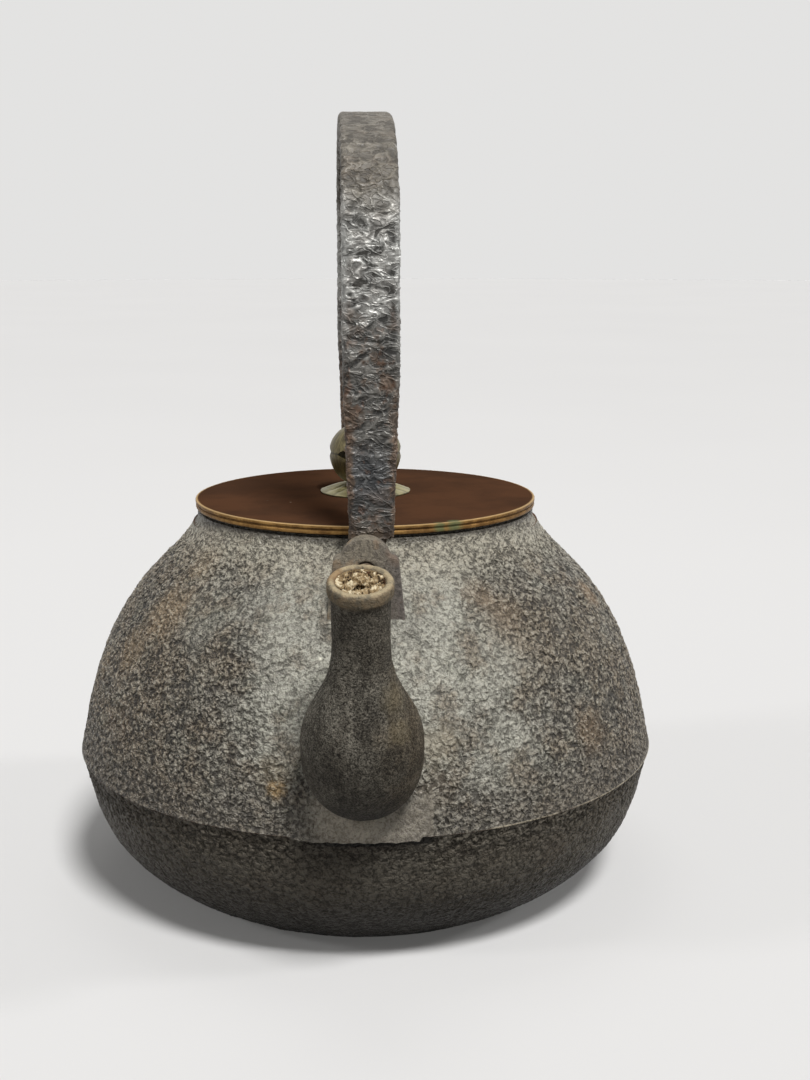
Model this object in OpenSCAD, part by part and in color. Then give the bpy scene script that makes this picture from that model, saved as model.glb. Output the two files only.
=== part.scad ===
// Cast iron tea kettle with a bronze lid, a pierced brass knob and a forged strap handle.
// Millimetres, +Z up, origin on the ground at the centre of the base, spout towards -Y.

/* [Kettle body] */
// Widest radius, at the casting seam
body_r = 88; // [80:0.5:96]
// Height of the casting seam above the ground
seam_h = 42.3; // [38:0.1:46]
// Radius of the flat foot
base_r = 58; // [54:0.5:62]
// Radius where the shoulder meets the collar
neck_r = 52.3; // [52:0.1:55]
// Height where the shoulder meets the collar
neck_h = 110.6; // [108:0.1:114]
// Thickness of the cast wall
wall = 2.8; // [2.2:0.1:3.6]
// Thickness of the floor inside the foot ring
floor_t = 3.4; // [2.6:0.1:4.5]
// Lean of the upper wall just above the seam, degrees from upright
upper_lean = 8.9; // [6:0.1:12]
// How far the upper wall keeps that lean
upper_reach = 52; // [46:0.5:56]
// Slope of the outline where it reaches the collar, degrees from level
shoulder_slope = 61.4; // [56:0.2:66]
// How far below the collar the outline keeps that slope
shoulder_reach = 15.3; // [12:0.1:18]
// Slope of the underside where it leaves the foot, degrees from level
foot_slope = 28; // [24:0.5:34]
// How far the underside keeps that slope
foot_reach = 30; // [26:0.5:34]
// Lean of the lower wall just below the seam, degrees from upright
lower_lean = 14.5; // [10:0.5:18]
// How far below the seam the lower wall keeps that lean
lower_reach = 16.2; // [12:0.2:20]
// Width of the ring that the kettle stands on
foot_ring_w = 9; // [6:0.5:12]
// Depth of the recess inside the foot ring
foot_recess = 1.2; // [0.8:0.1:1.6]
// Radius of the casting gate under the base, filed level with the foot ring
gate_r = 8; // [5:0.5:11]

/* [Casting pad below the spout] */
// Width of the pad around the seam
pad_w = 39; // [32:0.5:44]
// How far the pad stands proud of the wall at its lower edge
pad_proud = 0.9; // [0.6:0.1:1.4]
// How far the lower edge of the pad hangs below the seam
pad_drop = 0.8; // [0.4:0.1:1.2]
// Share of the upper wall that the pad takes to fade out
pad_fade = 0.2; // [0.14:0.01:0.26]

/* [Mouth and collar] */
// Outer radius of the collar
collar_r = 50.9; // [50.4:0.1:51.2]
// Height of the collar above the shoulder
collar_h = 3.6; // [3:0.1:4.5]
// Radius of the open mouth
mouth_r = 46; // [44:0.5:47]
// Radius of the raised ring that carries the lid
seat_ring_r = 49.6; // [49:0.1:50]
// Height of that ring above the collar
seat_ring_h = 0.6; // [0.4:0.1:0.9]

/* [Lid] */
// Radius of the lid
lid_r = 51.5; // [51:0.1:52.5]
// Height of the lid at its rim
lid_rim_h = 2.5; // [2.2:0.1:3]
// Rise of the top face from the rim to the knob
lid_crown = 0.9; // [0.5:0.1:1.6]
// Thickness of the plate inside the flange
lid_t = 1.6; // [1.2:0.1:2]
// Depth of the groove turned round the rim
rim_groove = 0.45; // [0.3:0.05:0.6]
// Gap between the lid and the ring that carries it
seat_gap = 0.3; // [0.2:0.05:0.4]
// Gap between the flange and the mouth
flange_gap = 0.8; // [0.6:0.1:1.2]
// Thickness of the flange under the lid
flange_t = 1.2; // [0.9:0.1:1.6]
// Depth of the flange under the lid
flange_h = 8; // [6:0.5:10]

/* [Knob] */
// Widest radius of the pierced ball
knob_r = 10.9; // [10:0.1:12]
// Height of the pierced ball
knob_h = 18.3; // [16:0.1:20]
// Height of the crease between the two halves, above the bottom of the ball
knob_crease = 9.6; // [8.5:0.1:10.5]
// Thickness of the brass sheet of the ball
knob_wall = 0.9; // [0.7:0.05:1.1]
// Radius of the flat that the ball stands on
knob_flat_r = 3.8; // [3.4:0.1:4.4]
// Openings round the crease
eye_count = 6; // [4:2:8]
// Length of one opening
eye_l = 7.2; // [6:0.1:8]
// Height of one opening
eye_h = 3; // [2.4:0.1:3.6]
// Radius of the fluted seat under the ball
seat_r = 13.65; // [13:0.05:14.5]
// Height of the fluted seat
seat_h = 2.8; // [2.2:0.1:3.4]
// Thickness of the thin edge of the seat
seat_edge = 0.5; // [0.4:0.05:0.7]
// Flutes round the seat
flute_count = 16; // [12:1:20]
// Radius of one flute
flute_r = 1.5; // [1.2:0.1:1.8]
// Radius of the rivet that holds the knob
rivet_r = 1.5; // [1.2:0.1:1.8]
// Clearance of the rivet in its holes
rivet_gap = 0.15; // [0.1:0.05:0.25]
// Radius of the rivet head inside the ball
rivet_head_r = 3; // [2.6:0.1:3.2]
// Thickness of the rivet head
rivet_head_h = 1.1; // [0.8:0.1:1.4]
// Radius of the washer under the lid
washer_r = 6; // [5:0.1:7]
// Thickness of the washer
washer_t = 1; // [0.8:0.1:1.4]

/* [Spout] */
// How far the middle of the spout's mouth stands out past the widest part of the kettle
spout_reach = 18; // [15:0.5:22]
// Height of the middle of the spout's mouth above the shoulder
spout_rise = 3.9; // [0:0.1:7]
// Forward tilt of the spout's mouth, degrees
spout_tilt = 17.6; // [12:0.2:22]
// Height of the root of the spout
root_h = 60.5; // [57:0.5:63]
// How far inside the widest part of the kettle the spout's root lies
root_depth = 10; // [8:0.5:12]
// How far the spout runs nearly level from its root before it rises
root_reach = 20; // [18:0.5:22]
// Rise of that nearly level run, degrees
root_slope = 5.7; // [3:0.1:9]
// How far below the mouth the spout keeps the mouth's direction
neck_reach = 32; // [28:0.5:35]
// Radius of the gourd-shaped bulb
bulb_r = 15.7; // [14:0.1:16.5]
// Radius of the neck below the mouth
spout_neck_r = 7.2; // [6:0.1:7.6]
// Outer radius of the lip round the mouth
spout_mouth_r = 8.2; // [7.6:0.1:9]
// Height of that lip
lip_h = 2.2; // [1.6:0.1:3]
// How far the lip stands proud of the neck below it
lip_step = 0.7; // [0.4:0.1:1]
// Thickness of the spout's wall
spout_wall = 2.3; // [1.8:0.1:2.8]
// Share of the spout's length at which the bulb is widest
bulb_at = 0.3; // [0.26:0.01:0.34]
// Share of the spout's length over which the bulb narrows to the neck
bulb_taper = 0.345; // [0.3:0.005:0.38]
// Power of that taper, where a higher one makes a rounder bulb
bulb_power = 3.8; // [3:0.1:4.6]
// How much narrower the bulb is at its root
root_pinch = 2.2; // [1.4:0.1:3]
// Radius of the pouring hole in the kettle's wall
pour_r = 9; // [7:0.5:10]
// Turn of the hand-set spout about the upright axis, out of line with the ears, degrees
spout_turn = 0.7; // [0:0.1:1.5]

/* [Ears] */
// How far out from the neck the outer face of an ear stands
ear_step = 14.3; // [13.2:0.1:15.5]
// Thickness of an ear
ear_t = 5.6; // [5:0.1:6]
// Width of an ear at the shoulder of the kettle
ear_base_w = 22.8; // [20:0.2:25]
// Width of an ear at its own shoulders
ear_top_w = 17.8; // [16:0.2:19]
// Height of an ear's shoulders above the kettle's own shoulder
ear_shoulder_rise = 1.8; // [0.8:0.1:3]
// Height of the dome on top of an ear
ear_dome_h = 5.1; // [4:0.1:6]
// Width of the dome on top of an ear
ear_dome_w = 13.1; // [12:0.1:14.5]
// Radius of an ear's shoulder corners
ear_corner_r = 2; // [1.5:0.1:2.6]
// How far an ear's outline runs down into the shoulder
ear_root = 24; // [20:0.5:30]
// How far the eye hole, which the handle swings about, lies below the top of an ear
eye_drop = 9.3; // [8.2:0.1:9.5]

/* [Handle] */
// Radius of the hook pin in the eye
pin_r = 2.5; // [2.1:0.1:2.6]
// Clearance between the hook pin and the eye
pin_gap = 0.3; // [0.2:0.05:0.4]
// Width of the strap
strap_w = 15.4; // [13:0.2:17]
// Width of the strap at its lower ends
strap_end_w = 12.4; // [11:0.2:13]
// Thickness of the strap
strap_t = 5.6; // [4.8:0.1:6.2]
// Thickness of the strap at its lower ends
strap_end_t = 5; // [4.6:0.1:5.2]
// Thickness of the iron sheet that the strap is folded from
strap_wall = 1.3; // [1:0.1:1.5]
// Radius of the strap's long edges
strap_edge_r = 1.7; // [1.4:0.1:2]
// Height of the handle's top above the ground
handle_h = 230; // [220:1:240]
// How much further out a leg is at its widest than at its lower end
leg_spread = 5.5; // [3:0.5:9]
// How far below the handle's top a leg is furthest out
leg_drop = 42; // [36:1:48]
// How far the strap's lower ends stand above the eyes
strap_end_rise = 7.2; // [6.4:0.1:8.6]
// Gap between the strap and the inner face of an ear
strap_gap = 0.5; // [0.4:0.1:0.7]
// Outward lean of a leg at its lower end, degrees
leg_lean = 6; // [4:0.5:8]
// How far a leg keeps that lean, and how far it stands upright below its widest point
leg_reach = 24; // [18:1:30]
// How far a leg's upper bend keeps upright
bend_rise = 28; // [24:1:34]
// How far the crown keeps level on each side
crown_reach = 38; // [32:1:42]
// Turn of the hand-forged strap about the upright axis, degrees
strap_skew = 1.5; // [0:0.1:2]
// Length of a hook's tang inside the hollow strap
tang_l = 12; // [9:0.5:16]
// Clearance of the tang inside the strap
tang_gap = 0.2; // [0.15:0.05:0.3]
// Radius of the bend at the hook's outer end
hook_bend_r = 3.3; // [2.9:0.1:4]
// Length of the hook's turned-down end below its bend
hook_tail_l = 4; // [3:0.1:6]
// Radius of the rounded tip of that end
hook_tip_r = 1.8; // [1.4:0.1:2]
// Gap between the hook's outer end and the ear
hook_gap = 0.5; // [0.4:0.1:0.8]

/* [Hidden] */
$fn = 96;
// How far a cut runs past the face that it opens
over = 1;
iron = [0.27, 0.26, 0.24];
dark_iron = [0.17, 0.16, 0.16];
bronze = [0.36, 0.22, 0.16];
brass = [0.66, 0.58, 0.38];
eps = 0.01;
lower_steps = 12;
upper_steps = 22;
pad_steps = 6;

// Levels, from the ground up
collar_top = neck_h + collar_h;
seat_top = collar_top + seat_ring_h;
lid_z = seat_top + seat_gap;
rim_top = lid_z + lid_rim_h;
lid_top = rim_top + lid_crown;
plate_under = lid_top - lid_t;
seat_z = lid_top;
knob_z = seat_z + seat_h;
flange_r = mouth_r - flange_gap;
eye_r = pin_r + pin_gap;
ear_out = neck_r + ear_step;
ear_shoulder_h = neck_h + ear_shoulder_rise;
ear_top_h = ear_shoulder_h + ear_dome_h;
eye_z = ear_top_h - eye_drop;
leg_in = ear_out - ear_t - strap_gap - strap_end_t / 2;
leg_out = leg_in + leg_spread;
leg_h = handle_h - leg_drop;
strap_end_h = eye_z + strap_end_rise;

// A point, and its direction, on a cubic curve
function bez(p, t) = pow(1 - t, 3) * p[0] + 3 * pow(1 - t, 2) * t * p[1]
    + 3 * (1 - t) * t * t * p[2] + pow(t, 3) * p[3];
function bez_dir(p, t) = let (d = pow(1 - t, 2) * (p[1] - p[0])
    + 2 * (1 - t) * t * (p[2] - p[1]) + t * t * (p[3] - p[2])) d / norm(d);
// The same, moved to its left by a distance
function bez_off(p, t, d) = let (v = bez_dir(p, t)) bez(p, t) + d * [-v[1], v[0]];

// Outline of the kettle: from the foot to the seam, and from the seam to the collar
seam = [body_r, seam_h];
lower_curve = [
    [base_r, 0],
    [base_r + foot_reach * cos(foot_slope), foot_reach * sin(foot_slope)],
    seam - lower_reach * [sin(lower_lean), cos(lower_lean)],
    seam];
upper_curve = [
    seam,
    seam + upper_reach * [-sin(upper_lean), cos(upper_lean)],
    [neck_r, neck_h] + shoulder_reach * [cos(shoulder_slope), -sin(shoulder_slope)],
    [neck_r, neck_h]];
function steps(n) = [for (i = [0 : n]) i / n];
lower_pts = [for (t = steps(lower_steps)) bez(lower_curve, t)];
upper_pts = [for (t = steps(upper_steps)) bez(upper_curve, t)];
collar_lip = 0.6;
collar_pts = [
    [collar_r, neck_h + collar_lip],
    [collar_r, collar_top - collar_lip],
    [collar_r - collar_lip, collar_top],
    [seat_ring_r, collar_top],
    [seat_ring_r, seat_top]];

// The kettle as if it were solid, which the ears are cut against
module solid_kettle() {
    rotate_extrude()
        polygon(concat([[0, 0]], lower_pts, upper_pts, collar_pts, [[0, seat_top]]));
}

module hollow() {
    inner_low = [for (t = steps(lower_steps)) bez_off(lower_curve, t, wall)];
    inner_up = [for (t = steps(upper_steps)) if (t > 0) bez_off(upper_curve, t, wall)];
    floor_z = foot_recess + floor_t;
    above = [for (p = concat(inner_low, inner_up)) if (p[1] > floor_z && p[0] > mouth_r) p];
    rotate_extrude()
        polygon(concat([[0, floor_z], [above[0][0] - wall, floor_z]], above,
            [[mouth_r, above[len(above) - 1][1]], [mouth_r, seat_top + over], [0, seat_top + over]]));
}

// Turns what belongs to the spout into line with it
module spout_side() {
    rotate([0, 0, -spout_turn])
        children();
}

module casting_pad() {
    turn = pad_w / body_r * 180 / PI;
    pad_ts = [for (t = steps(pad_steps)) t * pad_fade];
    face = [for (t = pad_ts) bez_off(upper_curve, t, -pad_proud * (1 - t / pad_fade))];
    // The pad's back lies inside the wall
    back = [for (i = [pad_steps : -1 : 0]) bez_off(upper_curve, pad_ts[i], wall / 2)];
    under = seam_h - pad_drop;
    rotate([0, 0, -90 - turn / 2])
        rotate_extrude(angle = turn)
            polygon(concat([[face[0][0], under]], face, back, [[back[pad_steps][0], under]]));
}

// Middle line of the spout, as distance out from the axis and height
root = [body_r - root_depth, root_h];
root_dir = [1, tan(root_slope)];
spout_end = [body_r + spout_reach, neck_h + spout_rise];
mouth_dir = [sin(spout_tilt), cos(spout_tilt)];
spout_curve = [root, root + root_reach * root_dir, spout_end - neck_reach * mouth_dir, spout_end];

// The casting without its hollow, which the spout is cut against
module solid_casting() {
    solid_kettle();
    spout_side() casting_pad();
}

module kettle_body() {
    drill_l = 2 * root_depth + 2 * wall;
    color(iron) difference() {
        solid_casting();
        hollow();
        // Recess inside the foot ring, which leaves the filed gate standing
        translate([0, 0, -over]) difference() {
            cylinder(r = base_r - foot_ring_w, h = foot_recess + over);
            translate([0, 0, -over])
                cylinder(r = gate_r, h = foot_recess + 3 * over);
        }
        // Pouring hole behind the spout, drilled along the spout's root
        spout_side()
            translate([0, drill_l / 2 - root[0], root[1] - tan(root_slope) * drill_l / 2])
                rotate([90 - root_slope, 0, 0])
                    cylinder(r = pour_r, h = drill_l);
    }
}

// Radius of the spout along its length: a bulb that narrows to a neck, and a flared mouth
flare_from = 0.84;
function bulb(t) = t < bulb_at
    ? bulb_r - root_pinch * pow(1 - t / bulb_at, 2)
    : spout_neck_r + (bulb_r - spout_neck_r) * exp(-pow((t - bulb_at) / bulb_taper, bulb_power));
function flare(t) = t < flare_from ? 0
    : (spout_mouth_r - lip_step - spout_neck_r) * pow((t - flare_from) / (1 - flare_from), 2);
function spout_r(t) = bulb(t) + flare(t);
// Shares of the spout's length at which the lip begins and reaches its full width. A cubic curve
// ends at three times the speed of its last reach.
end_speed = 3 * neck_reach;
lip_to = 1 - lip_h / end_speed;
lip_from = lip_to - lip_step / end_speed;

// A ring round a point of a curve in the YZ plane
function ring(curve, t, r, lift, n) = let (c = bez(curve, t), v = bez_dir(curve, t))
    [for (i = [0 : n - 1]) let (a = 360 * i / n)
        [r * cos(a),
         -(c[0] + lift * v[0] - r * sin(a) * v[1]),
         c[1] + lift * v[1] + r * sin(a) * v[0]]];

// A closed skin through rings of equal count, where the last ring joins the first
module ring_skin(rings) {
    m = len(rings);
    n = len(rings[0]);
    pts = [for (r = rings) each r];
    faces = [for (i = [0 : m - 1]) for (j = [0 : n - 1])
        let (a = i * n + j, b = i * n + (j + 1) % n,
             c = ((i + 1) % m) * n + (j + 1) % n, d = ((i + 1) % m) * n + j)
        each [[a, b, c], [a, c, d]]];
    polyhedron(points = pts, faces = faces, convexity = 6);
}

module spout() {
    n = 28;
    ts = [for (t = steps(26)) if (t < lip_from) t];
    edge = spout_wall / 2;
    outer = [for (t = concat(ts, [lip_from])) ring(spout_curve, t, spout_r(t), 0, n)];
    lip = [for (t = [lip_to, 1]) ring(spout_curve, t, spout_mouth_r, 0, n)];
    mouth = [for (a = [30 : 30 : 150])
        ring(spout_curve, 1, spout_mouth_r - edge + edge * cos(a), edge * sin(a), n)];
    inner = [for (t = concat([1], [for (i = [len(ts) - 1 : -1 : 0]) ts[i]]))
        ring(spout_curve, t, spout_r(t) + (t == 1 ? lip_step : 0) - spout_wall, 0, n)];
    color(dark_iron) difference() {
        spout_side() ring_skin(concat(outer, lip, mouth, inner));
        solid_casting();
    }
}

// Outline of an ear, seen along the spout
module ear_outline() {
    dome_r = (pow(ear_dome_w / 2, 2) + pow(ear_dome_h, 2)) / (2 * ear_dome_h);
    foot_z = neck_h - ear_root;
    corner_x = ear_top_w / 2 - ear_corner_r;
    corner_z = ear_shoulder_h - ear_corner_r;
    translate([0, ear_top_h - dome_r])
        circle(r = dome_r);
    for (s = [-1, 1])
        translate([s * corner_x, corner_z])
            circle(r = ear_corner_r);
    polygon([
        [-ear_base_w / 2, foot_z], [ear_base_w / 2, foot_z],
        [ear_top_w / 2, corner_z], [corner_x, ear_shoulder_h],
        [-corner_x, ear_shoulder_h], [-ear_top_w / 2, corner_z]]);
}

module ear(side) {
    color(dark_iron) difference() {
        translate([0, side > 0 ? ear_out : ear_t - ear_out, 0])
            rotate([90, 0, 0])
                linear_extrude(ear_t)
                    ear_outline();
        solid_kettle();
        translate([0, side * (ear_out + over), eye_z])
            rotate([side * 90, 0, 0])
                cylinder(r = eye_r, h = ear_t + 2 * over);
    }
}

module ear_front() { ear(-1); }
module ear_rear() { ear(1); }

module lid_plate() {
    // The groove lies a little above the middle of the rim
    groove_z = lid_z + lid_rim_h * 5 / 8;
    bead_r = lid_r - rim_groove / 3;
    edge = 0.25;
    // The top is nearly flat near the rim and round the knob's seat
    level_w = 4;
    ease = lid_crown / 8;
    seat_pad = 1.5;
    color(bronze) rotate_extrude()
        polygon([
            [rivet_r + rivet_gap, plate_under],
            [flange_r - 2 * flange_t, plate_under],
            [flange_r - 2 * flange_t, lid_z],
            [bead_r - edge, lid_z],
            [bead_r, lid_z + edge],
            [bead_r, groove_z - rim_groove],
            [lid_r - rim_groove, groove_z - rim_groove / 2],
            [lid_r - rim_groove, groove_z],
            [lid_r, groove_z + rim_groove / 2],
            [lid_r, rim_top - edge],
            [lid_r - edge, rim_top],
            [lid_r - level_w, rim_top + ease],
            [seat_r + 3 * level_w, lid_top - ease],
            [seat_r + seat_pad, lid_top],
            [rivet_r + rivet_gap, lid_top]]);
}

module lid_flange() {
    color(bronze) translate([0, 0, lid_z - flange_h])
        rotate_extrude()
            polygon([
                [flange_r - flange_t, 0],
                [flange_r - flange_t / 3, 0],
                [flange_r, flange_t],
                [flange_r, flange_h],
                [flange_r - flange_t, flange_h]]);
}

// Low domed seat with flutes like the petals of a chrysanthemum
module knob_seat() {
    dome = seat_h - seat_edge;
    // The flat under the ball is a little wider than the ball's own
    flat_r = knob_flat_r + 0.4;
    flute_gap = 0.25;
    function dome_z(r) = seat_edge + dome * cos(90 * (r - flat_r) / (seat_r - flat_r));
    rs = [for (t = steps(8)) seat_r + (flat_r - seat_r) * t];
    slope = atan(dome / (seat_r - flat_r));
    color(brass) translate([0, 0, seat_z]) difference() {
        rotate_extrude()
            polygon(concat([[rivet_r + rivet_gap, 0], [seat_r - seat_edge, 0]],
                [for (r = rs) [r, dome_z(r)]], [[rivet_r + rivet_gap, seat_h]]));
        for (i = [0 : flute_count - 1])
            rotate([0, 0, 360 * (i + 0.5) / flute_count])
                translate([seat_r, 0, seat_edge + flute_r + flute_gap])
                    rotate([0, -90 + slope * 0.75, 0])
                        cylinder(r = flute_r, h = seat_r - flat_r - 3 * flute_gap, $fn = 24);
    }
}

module knob_rivet() {
    // The hammered tail closes up against the washer
    tail_h = 1.2;
    tail_r = rivet_r + 1;
    head_taper = 0.7;
    top = knob_z + knob_wall;
    washer_z = plate_under - washer_t;
    color(brass) {
        translate([0, 0, washer_z - tail_h])
            cylinder(r1 = (rivet_r + tail_r) / 2, r2 = tail_r, h = tail_h);
        translate([0, 0, washer_z - eps])
            cylinder(r = rivet_r, h = top - washer_z + 2 * eps);
        translate([0, 0, top])
            cylinder(r1 = rivet_head_r, r2 = rivet_head_r - head_taper, h = rivet_head_h);
    }
}

module rivet_washer() {
    color(brass) translate([0, 0, plate_under - washer_t])
        rotate_extrude()
            polygon([
                [rivet_r + rivet_gap, 0],
                [washer_r - washer_t / 2, 0],
                [washer_r, washer_t / 2],
                [washer_r, washer_t],
                [rivet_r + rivet_gap, washer_t]]);
}

// Outline of the ball from its flat to its crease, and from the crease to the top; the power
// draws the top in a little from a true round
ball_power = 0.92;
function low_ball(a, w) = [
    knob_flat_r + (knob_r - knob_flat_r - w) * sin(a),
    knob_crease - (knob_crease - w) * cos(a)];
function high_ball(a, w) = [
    (knob_r - w) * pow(cos(a), ball_power),
    knob_crease + (knob_h - knob_crease - w) * sin(a)];

// Eye-shaped openings through the crease, in opposite pairs
module eye_cuts() {
    half = eye_h / 2;
    arc_r = (pow(eye_l / 2, 2) + pow(half, 2)) / (2 * half);
    for (i = [0 : eye_count / 2 - 1])
        rotate([0, 0, 360 * i / eye_count])
            translate([-knob_r - over, 0, knob_crease])
                rotate([90, 0, 90])
                    linear_extrude(2 * (knob_r + over))
                        intersection() {
                            translate([0, arc_r - half])
                                circle(r = arc_r);
                            translate([0, half - arc_r])
                                circle(r = arc_r);
                        }
}

module knob_lower_shell() {
    color(brass) translate([0, 0, knob_z]) difference() {
        rotate_extrude()
            polygon(concat(
                [[rivet_r + rivet_gap, 0]],
                [for (a = [0 : 10 : 90]) low_ball(a, 0)],
                [for (a = [90 : -10 : 0]) low_ball(a, knob_wall)],
                [[rivet_r + rivet_gap, knob_wall]]));
        eye_cuts();
    }
}

module knob_upper_shell() {
    color(brass) translate([0, 0, knob_z]) difference() {
        rotate_extrude()
            polygon(concat(
                [for (a = [0 : 10 : 90]) high_ball(a, 0)],
                [for (a = [90 : -10 : 0]) high_ball(a, knob_wall)]));
        eye_cuts();
    }
}

// Middle line of one leg of the handle, and of half its crown, out from the axis and up
leg_curve = [
    [leg_in, strap_end_h],
    [leg_in, strap_end_h] + leg_reach * [sin(leg_lean), cos(leg_lean)],
    [leg_out, leg_h - leg_reach],
    [leg_out, leg_h]];
crown_curve = [
    [leg_out, leg_h],
    [leg_out, leg_h + bend_rise],
    [crown_reach, handle_h - strap_t / 2],
    [0, handle_h - strap_t / 2]];

// Section of the strap: a rectangle with round edges, as offsets across and outwards
function strap_section(w, t, r) = [for (q = [0 : 3]) for (k = [0 : 2])
    let (a = 90 * q + 45 * k, sx = q == 0 || q == 3 ? 1 : -1, sy = q < 2 ? 1 : -1)
    [sx * (w / 2 - r) + r * cos(a), sy * (t / 2 - r) + r * sin(a)]];

// One ring of the strap; s is the side of the kettle, f how far up the leg it is
function strap_ring(curve, t, s, f, inset) = let (
        c = bez(curve, t), d = bez_dir(curve, t),
        w = strap_end_w + (strap_w - strap_end_w) * f,
        th = strap_end_t + (strap_t - strap_end_t) * f)
    [for (p = strap_section(w - 2 * inset, th - 2 * inset, max(strap_edge_r - inset, 0.4)))
        [p[0], s * (c[0] + p[1] * d[1]), c[1] - p[1] * d[0]]];

module handle_strap() {
    leg_n = 12;
    crown_n = 12;
    // A leg has its full width from this share of the way up
    full_at = 5 / 8;
    widen = function (t) min(1, t / full_at);
    function run(inset) = concat(
        [for (i = [0 : leg_n]) strap_ring(leg_curve, i / leg_n, 1, widen(i / leg_n), inset)],
        [for (i = [1 : crown_n]) strap_ring(crown_curve, i / crown_n, 1, 1, inset)],
        [for (i = [crown_n - 1 : -1 : 0]) strap_ring(crown_curve, i / crown_n, -1, 1, inset)],
        [for (i = [leg_n - 1 : -1 : 0])
            strap_ring(leg_curve, i / leg_n, -1, widen(i / leg_n), inset)]);
    inner = run(strap_wall);
    color(dark_iron) rotate([0, 0, strap_skew])
        ring_skin(concat(run(0), [for (i = [len(inner) - 1 : -1 : 0]) inner[i]]));
}

// Forged hook: a tang in the hollow strap, a pin through the eye and an end turned down
module hook(side) {
    tang_w = strap_end_w - 2 * (strap_wall + tang_gap + strap_edge_r / 4);
    tang_t = strap_end_t - 2 * (strap_wall + tang_gap);
    bend_at = ear_out + hook_gap + pin_r - hook_bend_r;
    slice_t = 0.2;
    up = [0, side * sin(leg_lean), cos(leg_lean)];
    // A thin slice of the tang, a distance up the strap's leg
    module slice(l) {
        rotate([0, 0, strap_skew])
            translate([0, side * leg_in, strap_end_h] + l * up)
                rotate([-side * leg_lean, 0, 0])
                    cube([tang_w, tang_t, slice_t], center = true);
    }
    color(dark_iron) union() {
        hull() {
            slice(0);
            slice(tang_l);
        }
        hull() {
            slice(0);
            translate([0, side * leg_in, eye_z])
                sphere(r = pin_r, $fn = 32);
        }
        translate([0, 0, eye_z]) rotate([0, 0, side > 0 ? 0 : 180]) {
            // Pin through the eye
            translate([0, leg_in, 0])
                rotate([-90, 0, 0])
                    cylinder(r = pin_r, h = bend_at - leg_in);
            // End turned down
            translate([0, bend_at, -hook_bend_r])
                rotate([0, -90, 0])
                    rotate_extrude(angle = 90)
                        translate([hook_bend_r, 0])
                            circle(r = pin_r);
            translate([0, bend_at + hook_bend_r, -hook_bend_r - hook_tail_l])
                cylinder(r1 = hook_tip_r, r2 = pin_r, h = hook_tail_l);
            translate([0, bend_at + hook_bend_r, -hook_bend_r - hook_tail_l])
                sphere(r = hook_tip_r);
        }
    }
}

module handle_hook_front() { hook(-1); }
module handle_hook_rear() { hook(1); }

kettle_body();
spout();
ear_front();
ear_rear();
lid_plate();
lid_flange();
knob_seat();
knob_rivet();
knob_lower_shell();
knob_upper_shell();
rivet_washer();
handle_strap();
handle_hook_front();
handle_hook_rear();
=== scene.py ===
import math

import bmesh
import bpy
import numpy as np
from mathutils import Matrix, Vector


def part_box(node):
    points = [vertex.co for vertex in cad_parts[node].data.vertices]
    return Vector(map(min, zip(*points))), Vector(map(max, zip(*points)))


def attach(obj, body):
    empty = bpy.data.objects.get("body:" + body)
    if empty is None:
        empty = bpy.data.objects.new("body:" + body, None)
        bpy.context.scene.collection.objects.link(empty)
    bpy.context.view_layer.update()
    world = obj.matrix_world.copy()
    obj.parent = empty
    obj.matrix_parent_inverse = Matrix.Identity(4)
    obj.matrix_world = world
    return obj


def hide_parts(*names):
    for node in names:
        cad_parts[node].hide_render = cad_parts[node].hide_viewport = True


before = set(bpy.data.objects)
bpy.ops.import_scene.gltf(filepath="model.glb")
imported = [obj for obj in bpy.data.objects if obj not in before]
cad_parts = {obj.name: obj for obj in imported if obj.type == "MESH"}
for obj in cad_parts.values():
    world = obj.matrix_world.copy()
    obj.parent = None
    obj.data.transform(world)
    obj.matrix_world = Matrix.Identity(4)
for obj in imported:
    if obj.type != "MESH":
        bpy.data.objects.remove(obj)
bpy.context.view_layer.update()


# ---------------------------------------------------------------- upper wall of the kettle
# The upper half of the iron casting, from the seam of the mould to the shoulder. Its sand-cast
# skin is a close network of worn grey ridges over dark pits, with rust where water has stood.
# A flat pad, left by the spout's core, stands proud of the skin below the spout.
MM = 0.001
body_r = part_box("kettle_body")[1].x / MM
seam_h = 42.3
wall_t = 2.8
neck = np.array([52.3, 110.6])
seam = np.array([body_r, seam_h])


def aim(degrees):
    """The direction that leans that many degrees from upright, away from the axis."""
    return np.array([math.sin(math.radians(degrees)), math.cos(math.radians(degrees))])


upper_curve = [seam, seam + 52 * aim(-8.9), neck - 15.3 * aim(-28.6), neck]


def bezier(curve, share):
    """Points of a cubic curve at shares from 0 to 1."""
    a, b, c, d = (np.array(p, float) for p in curve)
    t = np.asarray(share, float)[:, None]
    return (1 - t) ** 3 * a + 3 * (1 - t) ** 2 * t * b + 3 * (1 - t) * t * t * c + t**3 * d


def run_along(line):
    """How far along a line of points each of them is."""
    return np.append(0, np.cumsum(np.linalg.norm(np.diff(line, axis=0), axis=1)))


def way_along(line):
    """The direction of a line at each of its points."""
    way = np.gradient(line, axis=0)
    return way / np.linalg.norm(way, axis=1)[:, None]


def evenly(line, count):
    """count points at even distances along a line of points."""
    line = np.asarray(line, float)
    run = run_along(line)
    at = np.linspace(0, run[-1], count)
    return np.stack([np.interp(at, run, line[:, k]) for k in range(line.shape[1])], axis=1)


def traced(curve, count, steps=400):
    """count points at even distances along a cubic curve."""
    return evenly(bezier(curve, np.linspace(0, 1, steps)), count)


def all_round(count):
    """Even angles round the axis."""
    return np.linspace(0, 2 * math.pi, count + 1)[:-1]


def left_of(line, distance):
    """A line of flat points moved to its left by a distance."""
    way = way_along(line)
    return line + distance * np.stack([-way[:, 1], way[:, 0]], axis=1)


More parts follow.
